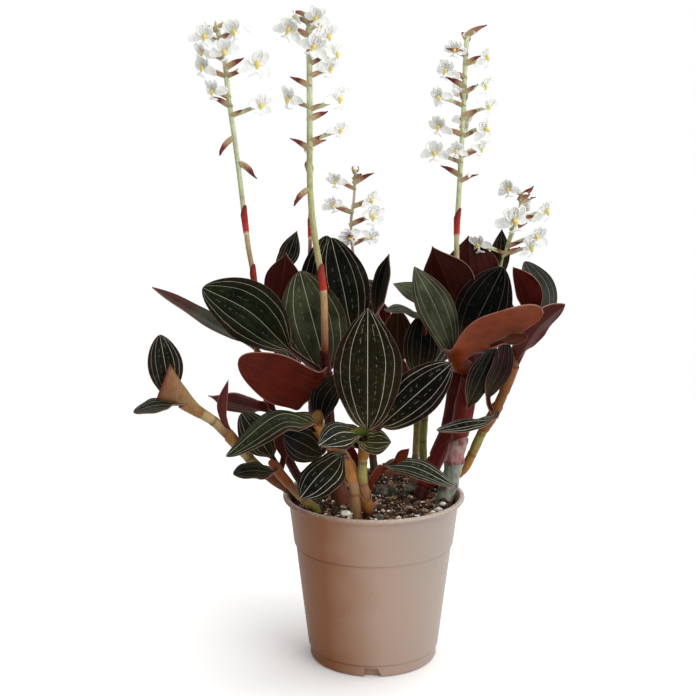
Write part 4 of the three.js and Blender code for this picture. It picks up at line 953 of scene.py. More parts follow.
def blade(name, spine, facing, half, lift, columns, rows, thick, finishes, ease=lambda v: v):
    """A thin blade: a grid whose middle follows the spine and whose upper side looks the way of facing.
    half gives its half width along it and lift raises it off flat; then it gets its thickness. Its face,
    its back and its edge take the three finishes."""
    piece, u, v = grid(name, columns, rows)
    share = ease(v)
    centre, heading = along_curve(spine, share)
    normal = facing - heading * (heading @ facing)[:, None]
    normal /= np.linalg.norm(normal, axis=1)[:, None]
    across = np.cross(heading, normal)
    width = half(share)
    reshape(piece, centre + across * (u * width)[:, None] + normal * lift(u, share, width)[:, None])
    marked(piece, along=share, half=width)
    for finish_ in finishes:
        piece.data.materials.append(finish_)
    return modified(piece, "SOLIDIFY", thickness=thick * MM, offset=0, material_offset=1,
                    material_offset_rim=2)


def unit(way):
    """A direction made one long."""
    way = np.array(way, float)
    return way / np.linalg.norm(way)


def ramp(values, low, high):
    """Rises smoothly from 0 to 1 between two values."""
    t = np.clip((values - low) / (high - low), 0, 1)
    return t * t * (3 - 2 * t)


def leaf(name, root, base, tip, face, width, upper, under, veins, middle=None, bow=0, sway=0, fold=0.12,
         neck=LEAF_STALK, broad=0.85, point=0.62, order=None, far_end=None):
    """A leaf from its root in the stem to its point; bow and sway bend its midrib, fold lifts its edges.
    neck is the width of its stalk. broad and point are lower the blunter its foot and its end are. Its
    outer half takes the colour far_end, if there is one."""
    facing = unit(face)
    sideways = np.cross(unit(np.subtract(tip, base)), facing)
    if middle is None:
        middle = (np.array(base) + np.array(tip)) / 2 + bow * facing + sway * sideways
    phase = chance.uniform(0, 1)
    length = np.linalg.norm(np.subtract(tip, base))

    def blade_share(share):
        """The share along the blade: it starts where the first third of the spine, the stalk, ends."""
        return (3 * share - 1) / 2

    def half(share):
        s = np.clip(blade_share(share), 0, 1)
        body = width / 2 * np.sin(math.pi * s) ** (broad + (point - broad) * s)
        slim = neck / 2 * (1 - ramp(s, 0.05, 0.45)) + 0.12
        return np.sqrt(body ** 2 + slim ** 2)

    def lift(u, share, wide):
        s = blade_share(share)
        body = ramp(s, 0.02, 0.25)
        side_ = np.abs(u)
        channel = (1 - body) * 0.85 * side_ ** 1.6
        crease = fold * body * side_ ** 1.1
        pillow = 0.03 * min(1, 0.15 + 2 * veins) * np.sin(2 * math.pi * side_ / 0.54) ** 2 * body
        roll = -0.08 * side_ ** 4 * body
        wave = 0.06 * np.sin(2 * math.pi * (1.9 * s + phase + 0.3 * np.sign(u))) * side_ ** 3 * body
        return (channel + crease + pillow + roll + wave) * wide

    def ease(v):
        """Spreads the rows: few on the stalk, and more toward the point."""
        w = np.clip((v - STALK_ROWS) / (1 - STALK_ROWS), 0, 1)
        s = np.where(v < STALK_ROWS, -0.5 + 0.5 * v / STALK_ROWS, 1 - (1 - w) ** 1.3)
        return (1 + 2 * s) / 3

    columns = LEAF_COLUMNS if width > 20 else NARROW_COLUMNS
    piece = blade(name, [root, base, middle, tip], facing, half, lift, columns, LEAF_ROWS, LEAF_THICK,
                  (leaf_velvet, leaf_maroon, leaf_margin), ease)
    share = blade_share(values_of(piece, "along"))
    lot = chance.uniform(0, 90) if order is None else 100 + 9 * order
    marked(piece, along=share * length, veins=veins, lot=lot)
    turned_red = ramp(share, 0.45, 0.72)[:, None] * (far_end is not None)
    for label, code in (("upper", upper), ("under", under)):
        far = np.array(linear(far_end or code))
        coloured(piece, label, np.array(linear(code)) * (1 - turned_red) + far * turned_red)
    return smooth(piece, 60)


def vein_lines(tree, width):
    """The main veins as a mask: lines along the leaf's own map, even in millimetres, each a little stronger
    or fainter. The pair beside the midrib is faint and broken."""
    across = node(tree, "SeparateXYZ", ("Vector", node(tree, "TexCoord", out="UV")))
    spot = node(tree, "TexCoord", out="Object")
    half = node(tree, "Attribute", attribute_name="half", out="Fac")
    centred = node(tree, "Math", (0, across), (1, 2.0), (2, -1.0), operation="MULTIPLY_ADD")
    out = node(tree, "Math", (0, centred), operation="ABSOLUTE")
    wander = node(tree, "TexNoise", ("Vector", spot), ("Scale", 1 / (14 * MM)), ("Detail", 1))
    swing = node(tree, "MapRange", ("Value", wander), ("To Min", 0.93), ("To Max", 1.07))
    swung = node(tree, "Math", (0, out), (1, swing), operation="MULTIPLY")
    off = node(tree, "Math", (0, swung), (1, VEIN_STEP / 2), operation="PINGPONG")
    far = node(tree, "Math", (0, off), (1, half), operation="MULTIPLY")
    lines = node(tree, "MapRange", ("Value", far), ("From Min", width * 1.2), ("From Max", width * 0.45),
                 interpolation_type="SMOOTHSTEP")
    place = node(tree, "Math", (0, swung), (1, 1 / VEIN_STEP), operation="MULTIPLY")
    place = node(tree, "Math", (0, place), operation="ROUND")
    sign = node(tree, "Math", (0, centred), operation="SIGN")
    side_ = node(tree, "Math", (0, place), (1, sign), operation="MULTIPLY")
    lot = node(tree, "Attribute", attribute_name="lot", out="Fac")
    ticket = node(tree, "Math", (0, side_), (1, lot), operation="ADD")
    drawn_lot = node(tree, "TexWhiteNoise", ("W", ticket), noise_dimensions="1D")
    keen = node(tree, "MapRange", ("Value", drawn_lot), ("From Min", 0.0), ("From Max", 0.7),
                ("To Min", 0.45))
    inner = node(tree, "MapRange", ("Value", place), ("From Min", 1.0), ("From Max", 2.0))
    outer = node(tree, "Math", (0, lines), (1, keen), operation="MULTIPLY")
    outer = node(tree, "Math", (0, outer), (1, inner), operation="MULTIPLY")
    not_inner = node(tree, "Math", (0, 1.0), (1, inner), operation="SUBTRACT")
    broken = node(tree, "Math", (0, lines), (1, not_inner), operation="MULTIPLY")
    to_middle = node(tree, "Math", (0, out), (1, half), operation="MULTIPLY")
    midrib = node(tree, "MapRange", ("Value", to_middle), ("From Min", width * 1.3),
                  ("From Max", width * 0.6),
                  interpolation_type="SMOOTHSTEP")
    return outer, broken, midrib, out, half, spot


# Upper side: dark green velvet, lighter in clouds; the veins are silver lines, 0.3 mm wide, with broken
# streaks between them, and the rim is maroon with a pale hair line.
VEIN_STEP = 0.262
leaf_velvet, tree, shader = finish("velvety_leaf_face", Roughness=0.48, IOR=1.38, Specular_IOR_Level=0.09)
main, broken, midrib, out, half, spot = vein_lines(tree, 0.19)
fade = node(tree, "MapRange", ("Value", half), ("From Min", 1.2), ("From Max", 4.0))
breaks = node(tree, "TexNoise", ("Vector", spot), ("Scale", 1 / (2.6 * MM)), ("Detail", 3))
strong = node(tree, "MapRange", ("Value", breaks), ("From Min", 0.3), ("From Max", 0.5), ("To Min", 0.6))
dashes = node(tree, "MapRange", ("Value", breaks), ("From Min", 0.52), ("From Max", 0.6), ("To Max", 0.36))
main = node(tree, "Math", (0, main), (1, strong), operation="MULTIPLY")
broken = node(tree, "Math", (0, broken), (1, dashes), operation="MULTIPLY")
lines = node(tree, "Math", (0, main), (1, broken), operation="MAXIMUM")
lines = node(tree, "Math", (0, lines), (1, fade), operation="MULTIPLY")
lines = node(tree, "Math", (0, lines), (1, midrib), operation="MAXIMUM")
net = node(tree, "TexVoronoi", ("Vector", spot), ("Scale", 1 / (2.4 * MM)), feature="DISTANCE_TO_EDGE")
meshes = node(tree, "MapRange", ("Value", net), ("From Min", 0.05), ("From Max", 0.0), ("To Max", 0.3))
meshes = node(tree, "Math", (0, meshes), (1, dashes), operation="MULTIPLY")
lines = node(tree, "Math", (0, lines), (1, meshes), operation="MAXIMUM")
veins = node(tree, "Attribute", attribute_name="veins", out="Fac")
drawn = node(tree, "Math", (0, lines), (1, veins), operation="MULTIPLY")
upper = node(tree, "Attribute", attribute_name="upper", out="Color")
cloud = node(tree, "TexNoise", ("Vector", spot), ("Scale", 1 / (14 * MM)), ("Detail", 2))
patch = node(tree, "MapRange", ("Value", cloud), ("From Min", 0.3), ("From Max", 0.7), ("To Min", 0.34),
             ("To Max", 1.12))
green = node(tree, "Mix", (0, 1.0), (6, upper), (7, patch), data_type="RGBA", blend_type="MULTIPLY", out=2)
ruddy = node(tree, "MapRange", ("Value", out), ("From Min", 0.5), ("From Max", 1.0), ("To Max", 0.5))
rimmed = node(tree, "Mix", (0, ruddy), (6, green), (7, linear("#220B07")), data_type="RGBA", out=2)
along = node(tree, "Attribute", attribute_name="along", out="Fac")
olive = node(tree, "MapRange", ("Value", along), ("From Min", 20.0), ("From Max", 0.0), ("To Max", 0.5))
footed = node(tree, "Mix", (0, olive), (6, rimmed), (7, linear("#38300E")), data_type="RGBA", out=2)
stalky = node(tree, "MapRange", ("Value", along), ("From Min", 3.0), ("From Max", -5.0))
stalk_side = node(tree, "Attribute", attribute_name="under", out="Color")
stalked = node(tree, "Mix", (0, stalky), (6, footed), (7, stalk_side), data_type="RGBA", out=2)
veined = node(tree, "Mix", (0, drawn), (6, stalked), (7, linear("#CDC9B4")), data_type="RGBA", out=2)
from_rim = node(tree, "Math", (0, 1.0), (1, out), operation="SUBTRACT")
rim_gap = node(tree, "Math", (0, from_rim), (1, half), operation="MULTIPLY")
rim_line = node(tree, "MapRange", ("Value", rim_gap), ("From Min", 0.35), ("From Max", 0.1), ("To Max", 0.3))
edged = node(tree, "Mix", (0, rim_line), (6, veined), (7, linear("#A08C7C")), data_type="RGBA", out=2)
tree.links.new(edged, shader.inputs["Base Color"])
nap = node(tree, "TexNoise", ("Vector", spot), ("Scale", 1 / (0.45 * MM)), ("Detail", 2))
velvet = node(tree, "Bump", ("Height", nap), ("Strength", 0.2), ("Distance", 0.12 * MM))
sunk = node(tree, "Bump", ("Height", lines), ("Strength", 0.5), ("Distance", 0.35 * MM),
            ("Normal", velvet), invert=True)
tree.links.new(sunk, shader.inputs["Normal"])

# Underside: smooth maroon with a satin shine, cloudy, its veins faint and a little raised.
leaf_maroon, tree, shader = finish("maroon_leaf_back", Roughness=0.42, IOR=1.4, Specular_IOR_Level=0.12)
main, broken, midrib, out, half, spot = vein_lines(tree, 0.4)
under = node(tree, "Attribute", attribute_name="under", out="Color")
cloud = node(tree, "TexNoise", ("Vector", spot), ("Scale", 1 / (12 * MM)), ("Detail", 3))
patch = node(tree, "MapRange", ("Value", cloud), ("From Min", 0.3), ("From Max", 0.7), ("To Min", 0.72),
             ("To Max", 1.3))
maroon = node(tree, "Mix", (0, 1.0), (6, under), (7, patch), data_type="RGBA", blend_type="MULTIPLY", out=2)
lines = node(tree, "Math", (0, main), (1, midrib), operation="MAXIMUM")
veins = node(tree, "Attribute", attribute_name="veins", out="Fac")
faint = node(tree, "Math", (0, lines), (1, veins), operation="MULTIPLY")
faint = node(tree, "Math", (0, faint), (1, 0.2), operation="MULTIPLY")
veined = node(tree, "Mix", (0, faint), (6, maroon), (7, linear("#A0785C")), data_type="RGBA", out=2)
from_rim = node(tree, "Math", (0, 1.0), (1, out), operation="SUBTRACT")
rim_gap = node(tree, "Math", (0, from_rim), (1, half), operation="MULTIPLY")
rim_line = node(tree, "MapRange", ("Value", rim_gap), ("From Min", 0.5), ("From Max", 0.2), ("To Max", 0.45))
edged = node(tree, "Mix", (0, rim_line), (6, veined), (7, linear("#B47A68")), data_type="RGBA", out=2)
tree.links.new(edged, shader.inputs["Base Color"])
raised = node(tree, "Bump", ("Height", faint), ("Strength", 0.3), ("Distance", 0.3 * MM))
tree.links.new(raised, shader.inputs["Normal"])

# The thin margin of a leaf: the colour of its underside, pinkish in places.
leaf_margin, tree, shader = finish("leaf_margin", Roughness=0.5, Specular_IOR_Level=0.3)
under = node(tree, "Attribute", attribute_name="under", out="Color")
spot = node(tree, "TexCoord", out="Object")
patchy = node(tree, "TexNoise", ("Vector", spot), ("Scale", 1 / (5 * MM)))
palely = node(tree, "MapRange", ("Value", patchy), ("To Min", 0.1), ("To Max", 0.6))
pink = node(tree, "Mix", (0, palely), (6, under), (7, linear("#B98878")), data_type="RGBA", out=2)
tree.links.new(pink, shader.inputs["Base Color"])

for name, rows in LEAVES.items():
    points, thick = stem_points(STEMS[name]), STEMS[name]["radius"]
    place, heading, run = measured(points)
    pieces = []
    for i, row in enumerate(rows):
        piece = leaf(f"{name}_leaf_{i}", **row)
        near = run[np.argmin(np.linalg.norm(place - np.array(row["root"]), axis=1))]
        out = unit(np.subtract(row["base"], row["root"])) * 5
        clasp = sheath(f"{name}_clasp_{i}", points, max(24, near - 11), near + 2, thick + 0.18 + 0.08 * i,
                       out,
                       (stem_skin, sheath_margin), thick=0.25, sides=14, rings=8)
        tinted(clasp, [(0, STEMS[name]["clasp"]), (1, STEMS[name]["clasp"])])
        pieces += [piece, smooth(clasp, 50)]
    for points, narrow, flare, slant, code, edge in FUNNELS.get(name, []):
        cone = sheath(name + "_funnel", points, 0, 99, narrow, slant, (stem_skin, stem_skin),
                      thick=0.5, sides=26, rings=16, flare=flare, late=2.3)
        shape, reach = corners(cone), np.subtract(points[-1], points[0])
        share = np.clip((shape - points[0]) @ reach / (reach @ reach), 0, 1)
        shape[:, 1] += (points[0][1] + share * reach[1] - shape[:, 1]) * 0.6 * share
        reshape(cone, shape)
        pieces.append(smooth(tinted(cone, [(0, code), (0.45, code), (0.93, edge), (1, "#5E2E22")]), 50))
    fitted(joined(name + "_leaves", pieces), name, "foliage")

# ------------------------------------------------------------------------------ the flower stalks
# Upright stalks, round and downy, one from the top of a shoot. Lower down most carry red sheaths;
# above, each flower, open or in bud, stands on its own twisted ovary in the fold of a small bract. The
# columns are height, angle round the stalk, reach and size for flowers, the first three for buds, and
# height, angle and rise for bracts that stand alone.
SHEATH_LENGTH, BRACT_LENGTH, BRACT_WIDTH, HAIR_LENGTH = 14, 14, 7, 1.1
LIGHT_SIDE, FLOWER_TURN, FLOWER_RISE, FLOWER_NOD, BUD_RISE = -90, 55, 0.35, -0.15, 0.7
SPIKES = {
    "shoot_centre_left": dict(
        radius=1.9,
        stalk=[(-77, 14, 202), (-78, 12, 248), (-82, 10, 277), (-87, 6, 327), (-92, 4, 368),
               (-94, 2, 390), (-99, 0, 414)],
        sheaths=[243, 281],
        flowers=[(400, 200, 11, 14), (403, -30, 12, 14), (392, -80, 9, 14), (390, 170, 14, 13),
            (380, 195, 15, 14), (380, -18, 21, 17), (367, 200, 10, 13), (356, -10, 19, 14)],
        buds=[(410, 20, 10), (408, 170, 10)],
        bracts=[(342, 185, -1.6), (326, -10, -1.2), (384, 0, 1), (360, 190, 1)],
        skin=[(0, "#7A4A34"), (0.12, "#A88A5C"), (0.3, "#AC8E6C"), (0.55, "#C4CAA0"), (1, "#D2DAB6")],
    ),
    "shoot_centre": dict(
        radius=2.3,
        stalk=[(-32, -6, 206), (-32, -7, 225), (-33, -6, 250), (-38, -3, 280), (-41, 0, 312),
               (-41, 0, 360), (-41, 0, 420)],
        sheaths=[245],
        flowers=[(404, 190, 13, 15), (400, -20, 13, 15), (394, -70, 9, 15), (388, -10, 17, 14),
            (380, 5, 13, 13), (362, 185, 13, 15), (360, -10, 19, 15), (340, -5, 20, 11), (411, -60, 10, 12),
            (412, 150, 10, 12), (408, 60, 12, 12)],
        buds=[(416, -20, 8), (417, 160, 7)],
        bracts=[(372, 180, 0.9), (334, 190, 1.1), (310, 185, -1.4), (352, 20, 0.8)],
        skin=[(0, "#6A2418"), (0.06, "#966A4C"), (0.14, "#B08A62"), (0.3, "#AAA272"), (0.6, "#B2B684"),
              (0.8, "#CCD2AA"), (1, "#D6DCB8")],
    ),
    "shoot_back_left": dict(
        radius=1.5,
        stalk=[(-43, 36, 222), (-43, 35, 250), (-42, 33, 280), (-42, 30, 310), (-43, 27, 338)],
        sheaths=[276],
        flowers=[(334, 100, 6, 9)],
        buds=[(335, 140, 8), (336, 0, 7)],
        bracts=[(318, 100, 1)],
        skin=[(0, "#7A3A2C"), (0.3, "#A06A54"), (0.7, "#AE8A6A"), (1, "#B8A880")],
    ),
    "shoot_middle_back": dict(
        radius=1.05,
        stalk=[(-8, 32, 238), (-13, 33, 262), (-15, 33, 285), (-13, 34, 303), (-12, 34, 322)],
        flowers=[(309, 180, 13, 11), (297, 0, 12, 12), (293, 190, 13, 11),
            (285, -10, 14, 15), (275, -100, 5, 12), (272, 0, 13, 10)],
        buds=[(315, -60, 8), (319, 90, 7)],
        bracts=[(311, -10, 1)],
        skin=[(0, "#6B2A20"), (0.3, "#B2987A"), (1, "#C8BA9C")],
    ),
    "shoot_right": dict(
        radius=1.9,
        stalk=[(57, 15, 206), (55, 18, 240), (54, 20, 280), (55, 20, 306), (57, 20, 355),
               (58, 20, 398), (60, 20, 409)],
        sheaths=[278],
        flowers=[(394, 200, 8, 11), (388, -10, 14, 13), (380, 190, 13, 13), (370, -5, 13, 13),
            (362, 185, 16, 12), (356, -10, 16, 12), (344, 190, 16, 14), (343, 0, 16, 14), (330, -10, 13, 11),
            (326, 185, 18, 14), (332, -120, 8, 11), (366, 90, 12, 13), (348, 80, 12, 13)],
        buds=[(403, 100, 8), (406, -30, 8), (314, -10, 11)],
        bracts=[(316, 180, 1), (372, 180, 1), (352, 20, 1)],
        skin=[(0, "#5A1413"), (0.12, "#7A2A22"), (0.2, "#A4804E"), (0.35, "#BEC094"), (0.6, "#CACFA6"),
              (1, "#D4DAB6")],
    ),
    "shoot_right_sheathed": dict(
        radius=1.7,
        stalk=[(70, 22, 218), (74, 28, 228), (84, 32, 256), (91, 32, 278), (96, 32, 292), (98, 32, 306)],
        sheaths=[226],
        flowers=[(305, 170, 9, 13), (288, -10, 20, 15), (286, -110, 6, 19), (271, -15, 20, 13),
            (264, -5, 18, 14), (266, 200, 20, 13), (292, 60, 10, 12)],
        buds=[(300, 20, 9), (302, -60, 7)],
        bracts=[(280, 0, 1), (300, 20, 1.6)],
        skin=[(0, "#7A2A22"), (0.12, "#9A9458"), (0.3, "#A6AC6C"), (1, "#BCC296")],
    ),
}


def outward(azimuth, rise):
    """The direction at an angle in degrees round the pot, tipped up by rise."""
    turn = math.radians(azimuth)
    return unit((math.cos(turn), math.sin(turn), rise))


def bract(name, foot, azimuth, length, spread, code, rise=1.0):
    """A boat-shaped bract, broad at its foot and drawn out to a dark, curled point. It hangs if its rise
    is negative."""
    out, curl = outward(azimuth, 0), chance.uniform(-0.6, 1.6)
    way = unit(out * spread + (0, 0, rise))
    spine = [foot - out * 0.4, foot + way * length * 0.4 + out * 0.6, foot + way * length * 0.75 + out * 0.7,
             foot + way * length + out * curl + np.array((chance.uniform(-1, 1), chance.uniform(-1, 1), 0))]
    width = BRACT_WIDTH / 2 * length / BRACT_LENGTH

    def half(share):
        return width * np.clip(1.15 * (1 - share) ** 0.75 * (0.55 + 1.6 * share * (1 - share)), 0.12, None)

    def lift(u, share, wide):
        return 1.25 * u ** 2 * wide

    piece = blade(name, spine, unit(np.array((0, 0, 1)) - out * 0.6), half, lift, columns=8, rows=10,
                  thick=0.35, finishes=(stem_skin, stem_skin, stem_skin))
    marked(piece, share=values_of(piece, "along"))
    return smooth(tinted(piece, [(0, "#B8B088"), (0.25, "#B49C78"), (0.5, code), (0.72, code),
                                 (0.88, "#5A2A26"), (1, "#1C0E0E")]), 60)


def hairs(name, path, radius, count):
    """Down on a stalk: thin three-sided hairs that stand out all round it."""
    place, heading, run = path
    pick = chance.integers(4, len(run) - 4, count)
    turn = chance.uniform(0, 2 * math.pi, count)
    points, faces = [], []
    for i, at in enumerate(pick):
        side_ = unit(np.cross(heading[at], (1, 0, 0)))
        out = side_ * math.cos(turn[i]) + np.cross(heading[at], side_) * math.sin(turn[i])
        beside = np.cross(heading[at], out) * 0.09
        foot = place[at] + heading[at] * chance.uniform(-0.5, 0.5) + out * radius * 0.85
        tip = foot + out * HAIR_LENGTH * chance.uniform(0.6, 1.1) + heading[at] * 0.3
        start = len(points)
        points += [foot + beside, foot - beside, foot + heading[at] * 0.15, tip]
        faces += [(start, start + 2, start + 1), (start, start + 1, start + 3),
                  (start + 1, start + 2, start + 3), (start + 2, start, start + 3)]
    return outside_out(built(name, points, faces))


def at_height(path, height):
    """The place on a path that is nearest to a height."""
    return path[0][np.argmin(np.abs(path[0][:, 2] - height))]


# Down on the stalks: short hairs, brown-pink low down and pale green-grey above, which soften the
# outline of a stalk.
downy_hair, tree, shader = finish("downy_hair", Roughness=0.6, Specular_IOR_Level=0.3)
spot = node(tree, "TexCoord", out="Object")
height = node(tree, "SeparateXYZ", ("Vector", spot), out=2)
upper = node(tree, "MapRange", ("Value", height), ("From Min", 0.2), ("From Max", 0.3))
pale = node(tree, "Mix", (0, upper), (6, linear("#B08A70")), (7, linear("#D0CCAE")), data_type="RGBA", out=2)
tree.links.new(pale, shader.inputs["Base Color"])

for name, spike in SPIKES.items():
    thick = spike["radius"]
    path = measured(spike["stalk"])

    def stalk_radius(share, run, angle):
        """Slims upward, faintly ribbed, and closes at the end."""
        slim = 1.04 - 0.12 * ramp(share, 0.1, 0.35) - 0.12 * share
        closing = np.sqrt(np.clip((1 - share) / 0.01, 0.05, 1))
        return thick * slim * (1 + 0.03 * np.cos(6 * angle)) * closing

    pieces = [smooth(tinted(rod(name + "_stalk", path, stalk_radius, sides=14, rings=80), spike["skin"]), 60)]
    for height in spike.get("sheaths", []):
        run = path[2][np.argmin(np.abs(path[0][:, 2] - height))]
        wrap = sheath("stalk_sheath", spike["stalk"], run, run + SHEATH_LENGTH + 1, thick * 0.93 + 0.15,
                      (3, -3, 0), (stem_skin, stem_skin), thick=0.2, sides=16, rings=12)
        pieces.append(smooth(tinted(wrap, [(0, "#D8C8A0"), (0.07, "#D8B898"), (0.15, "#B8382C"),
                                           (0.7, "#9A3024"), (1, "#6A2A20")]), 60))
    for i, (height, azimuth, *rest) in enumerate(spike["flowers"] + spike["buds"]):
        foot = at_height(path, height)
        code = ("#A6665C", "#8C563C", "#AC7A60", "#7C4038")[i % 4]
        pieces.append(bract(f"{name}_bract_{i}", foot + (0, 0, -1.5), azimuth,
                            11.5 + chance.uniform(-2, 2), chance.uniform(1.2, 2.4), code))
    for i, (height, azimuth, rise) in enumerate(spike.get("bracts", [])):
        pieces.append(bract(f"{name}_lone_bract_{i}", at_height(path, height), azimuth, BRACT_LENGTH, 1.4,
                            "#743430", rise))
    pieces[0].data.materials.append(stem_skin)
    down = hairs(name + "_down", path, thick, int(2.2 * path[2][-1]))
    down.data.materials.append(downy_hair)
    pieces.append(down)
    fitted(joined(name + "_stalk", pieces), name, "foliage")

# ------------------------------------------------------------------------------ the flowers
# Waxy white orchid flowers about 15 mm across: a hood and two petals over the yellow column, two drooping
# wings, and a narrow lip that ends in two lobes. Each is held out by its ovary, and none is quite alike.
FLOWER_SPAN = 15

# Waxy petals: cool white, a breath of grey-green in patches, finely crystalline, letting some light through.
waxy_petal, tree, shader = finish("waxy_white_petal", Roughness=0.45, IOR=1.38, Specular_IOR_Level=0.3,
                                  Subsurface_Weight=0.35, Subsurface_Scale=2.5 * MM,
                                  Subsurface_Radius=(0.9, 1, 0.95))
spot = node(tree, "TexCoord", out="Object")
soft = node(tree, "TexNoise", ("Vector", spot), ("Scale", 1 / (4 * MM)), ("Detail", 2))
toned = node(tree, "MapRange", ("Value", soft), ("From Min", 0.4), ("From Max", 0.72))
white = node(tree, "Mix", (0, toned), (6, linear("#FDFDFB")), (7, linear("#E8ECE2")), data_type="RGBA", out=2)
tree.links.new(white, shader.inputs["Base Color"])
crystal = node(tree, "TexNoise", ("Vector", spot), ("Scale", 1 / (0.5 * MM)))
sparkle = node(tree, "Bump", ("Height", crystal), ("Strength", 0.15), ("Distance", 0.1 * MM))
tree.links.new(sparkle, shader.inputs["Normal"])

# Column and callus: pale yellow, deeper in patches, with a wet shine.
yellow_column, tree, shader = finish("yellow_column", Roughness=0.3, Specular_IOR_Level=0.5)
spot = node(tree, "TexCoord", out="Object")
patchy = node(tree, "TexNoise", ("Vector", spot), ("Scale", 1 / (1.6 * MM)))
yolk = node(tree, "Mix", (0, patchy), (6, linear("#F4E690")), (7, linear("#DEBC46")), data_type="RGBA", out=2)
tree.links.new(yolk, shader.inputs["Base Color"])


def petal(name, spine, facing, half, cup, columns=6, rows=9, thick=0.3):
    """A petal along a spine; half gives its half width and cup raises its sides."""
    return blade(name, spine, unit(facing), half, lambda u, s, wide: cup * u ** 2 * wide, columns, rows,
                 thick, (waxy_petal, waxy_petal, waxy_petal))


def oval(widest, start, span, power, least):
    """The half width of a rounded petal, as a function of the share along it."""
    return lambda s: widest * np.sin(math.pi * np.clip(start + span * s, 0, 1)) ** power + least


hood = petal("hood", [(0, 0.6, 0.2), (0, 3.2, -0.1), (0, 6.0, 0.8), (0, 8.0, 3.0)], (0, 0, 1),
             oval(2.5, 0.12, 0.82, 0.6, 0.15), cup=0.6, columns=8, rows=10)
tepals, wings = [], []
for hand in (-1, 1):
    spine = [(hand * 0.6, 0.8, 0.4), (hand * 2.2, 3.0, 0.6), (hand * 3.6, 5.4, 1.2), (hand * 3.4, 7.6, 2.6)]
    tepals.append(petal("tepal", spine, (hand * -0.2, 0, 1), oval(1.9, 0.1, 0.86, 0.6, 0.12), cup=0.4))
for hand in (-1, 1):
    spine = [(hand * 0.8, 0.4, 0.4), (hand * 3.2, 0.6, 0.1), (hand * 6.0, 0.2, -1.0),
             (hand * 8.6, -1.4, -1.6)]
    wings.append(petal("wing", spine, (0, 0, 1), oval(2.8, 0.1, 0.86, 0.65, 0.12), cup=0.28))
lip = petal("lip", [(0, 0.2, 1.0), (0, -1.6, 2.0), (0, -3.4, 2.6), (0, -5.0, 2.2)], (0, 0.2, 1),
            lambda s: 0.9 + 2.3 * ramp(s, 0.5, 0.9), cup=-0.3, columns=10, rows=12)
shape = corners(lip)
lobed = ramp(-shape[:, 1], 2.8, 4.8)
shape[:, 1] += lobed * (1.0 - 0.4 * np.abs(shape[:, 0]))
shape[:, 2] -= lobed * 0.18 * shape[:, 0] ** 2 * 0.5
reshape(lip, shape)
bpy.ops.mesh.primitive_uv_sphere_add(segments=10, ring_count=7, radius=MM)
column = added("column")
reshape(column, corners(column) * (1.3, 1.5, 1.1) + (0, 0.7, 1.9))
bpy.ops.mesh.primitive_uv_sphere_add(segments=8, ring_count=5, radius=MM)
callus = added("callus")
reshape(callus, corners(callus) * (0.9, 0.8, 0.6) + (0, -1.1, 2.2))
for piece in (column, callus):
    piece.data.materials.append(yellow_column)
bloom = smooth(joined("bloom", [hood, *wings, *tepals, lip, column, callus]), 60)
bloom_shape = corners(bloom)

bpy.ops.mesh.primitive_uv_sphere_add(segments=12, ring_count=10, radius=MM)
bud_pattern = smooth(added("bud"), 60)
bud_pattern.data.materials.append(waxy_petal)
ball = corners(bud_pattern)


def toward_light(azimuth):
    """Turns the way a flower faces some of the way to the light."""
    away = (azimuth - LIGHT_SIDE + 540) % 360 - 180
    turn = FLOWER_TURN * chance.uniform(0.5, 1.25)
    return azimuth - max(-turn, min(turn, away))


def copied(name, pattern, shape):
    """A copy of a pattern with its own mesh, its vertices at their new places."""
    piece = placed(name, pattern.data.copy())
    reshape(piece, shape)
    return piece


def ovary(name, foot, heart, sag):
    """The twisted ovary under a flower, curved from the stalk out to the flower's back."""
    middle = (foot + heart) / 2 + np.array((0, 0, sag))
    path = measured([foot, middle, heart], count=40)

    def ridged(share, run, angle):
        return (0.8 + 0.6 * np.sin(math.pi * share)) * (1 + 0.12 * np.cos(3 * angle + 9 * share))

    piece = rod(name, path, ridged, sides=9, rings=8)
    tinted(piece, [(0, "#A89A6E"), (0.3, "#BEBA8E"), (0.65, "#C8CCA8"), (1, "#D8DEC8")])
    piece.data.materials.append(stem_skin)
    return smooth(piece, 60)


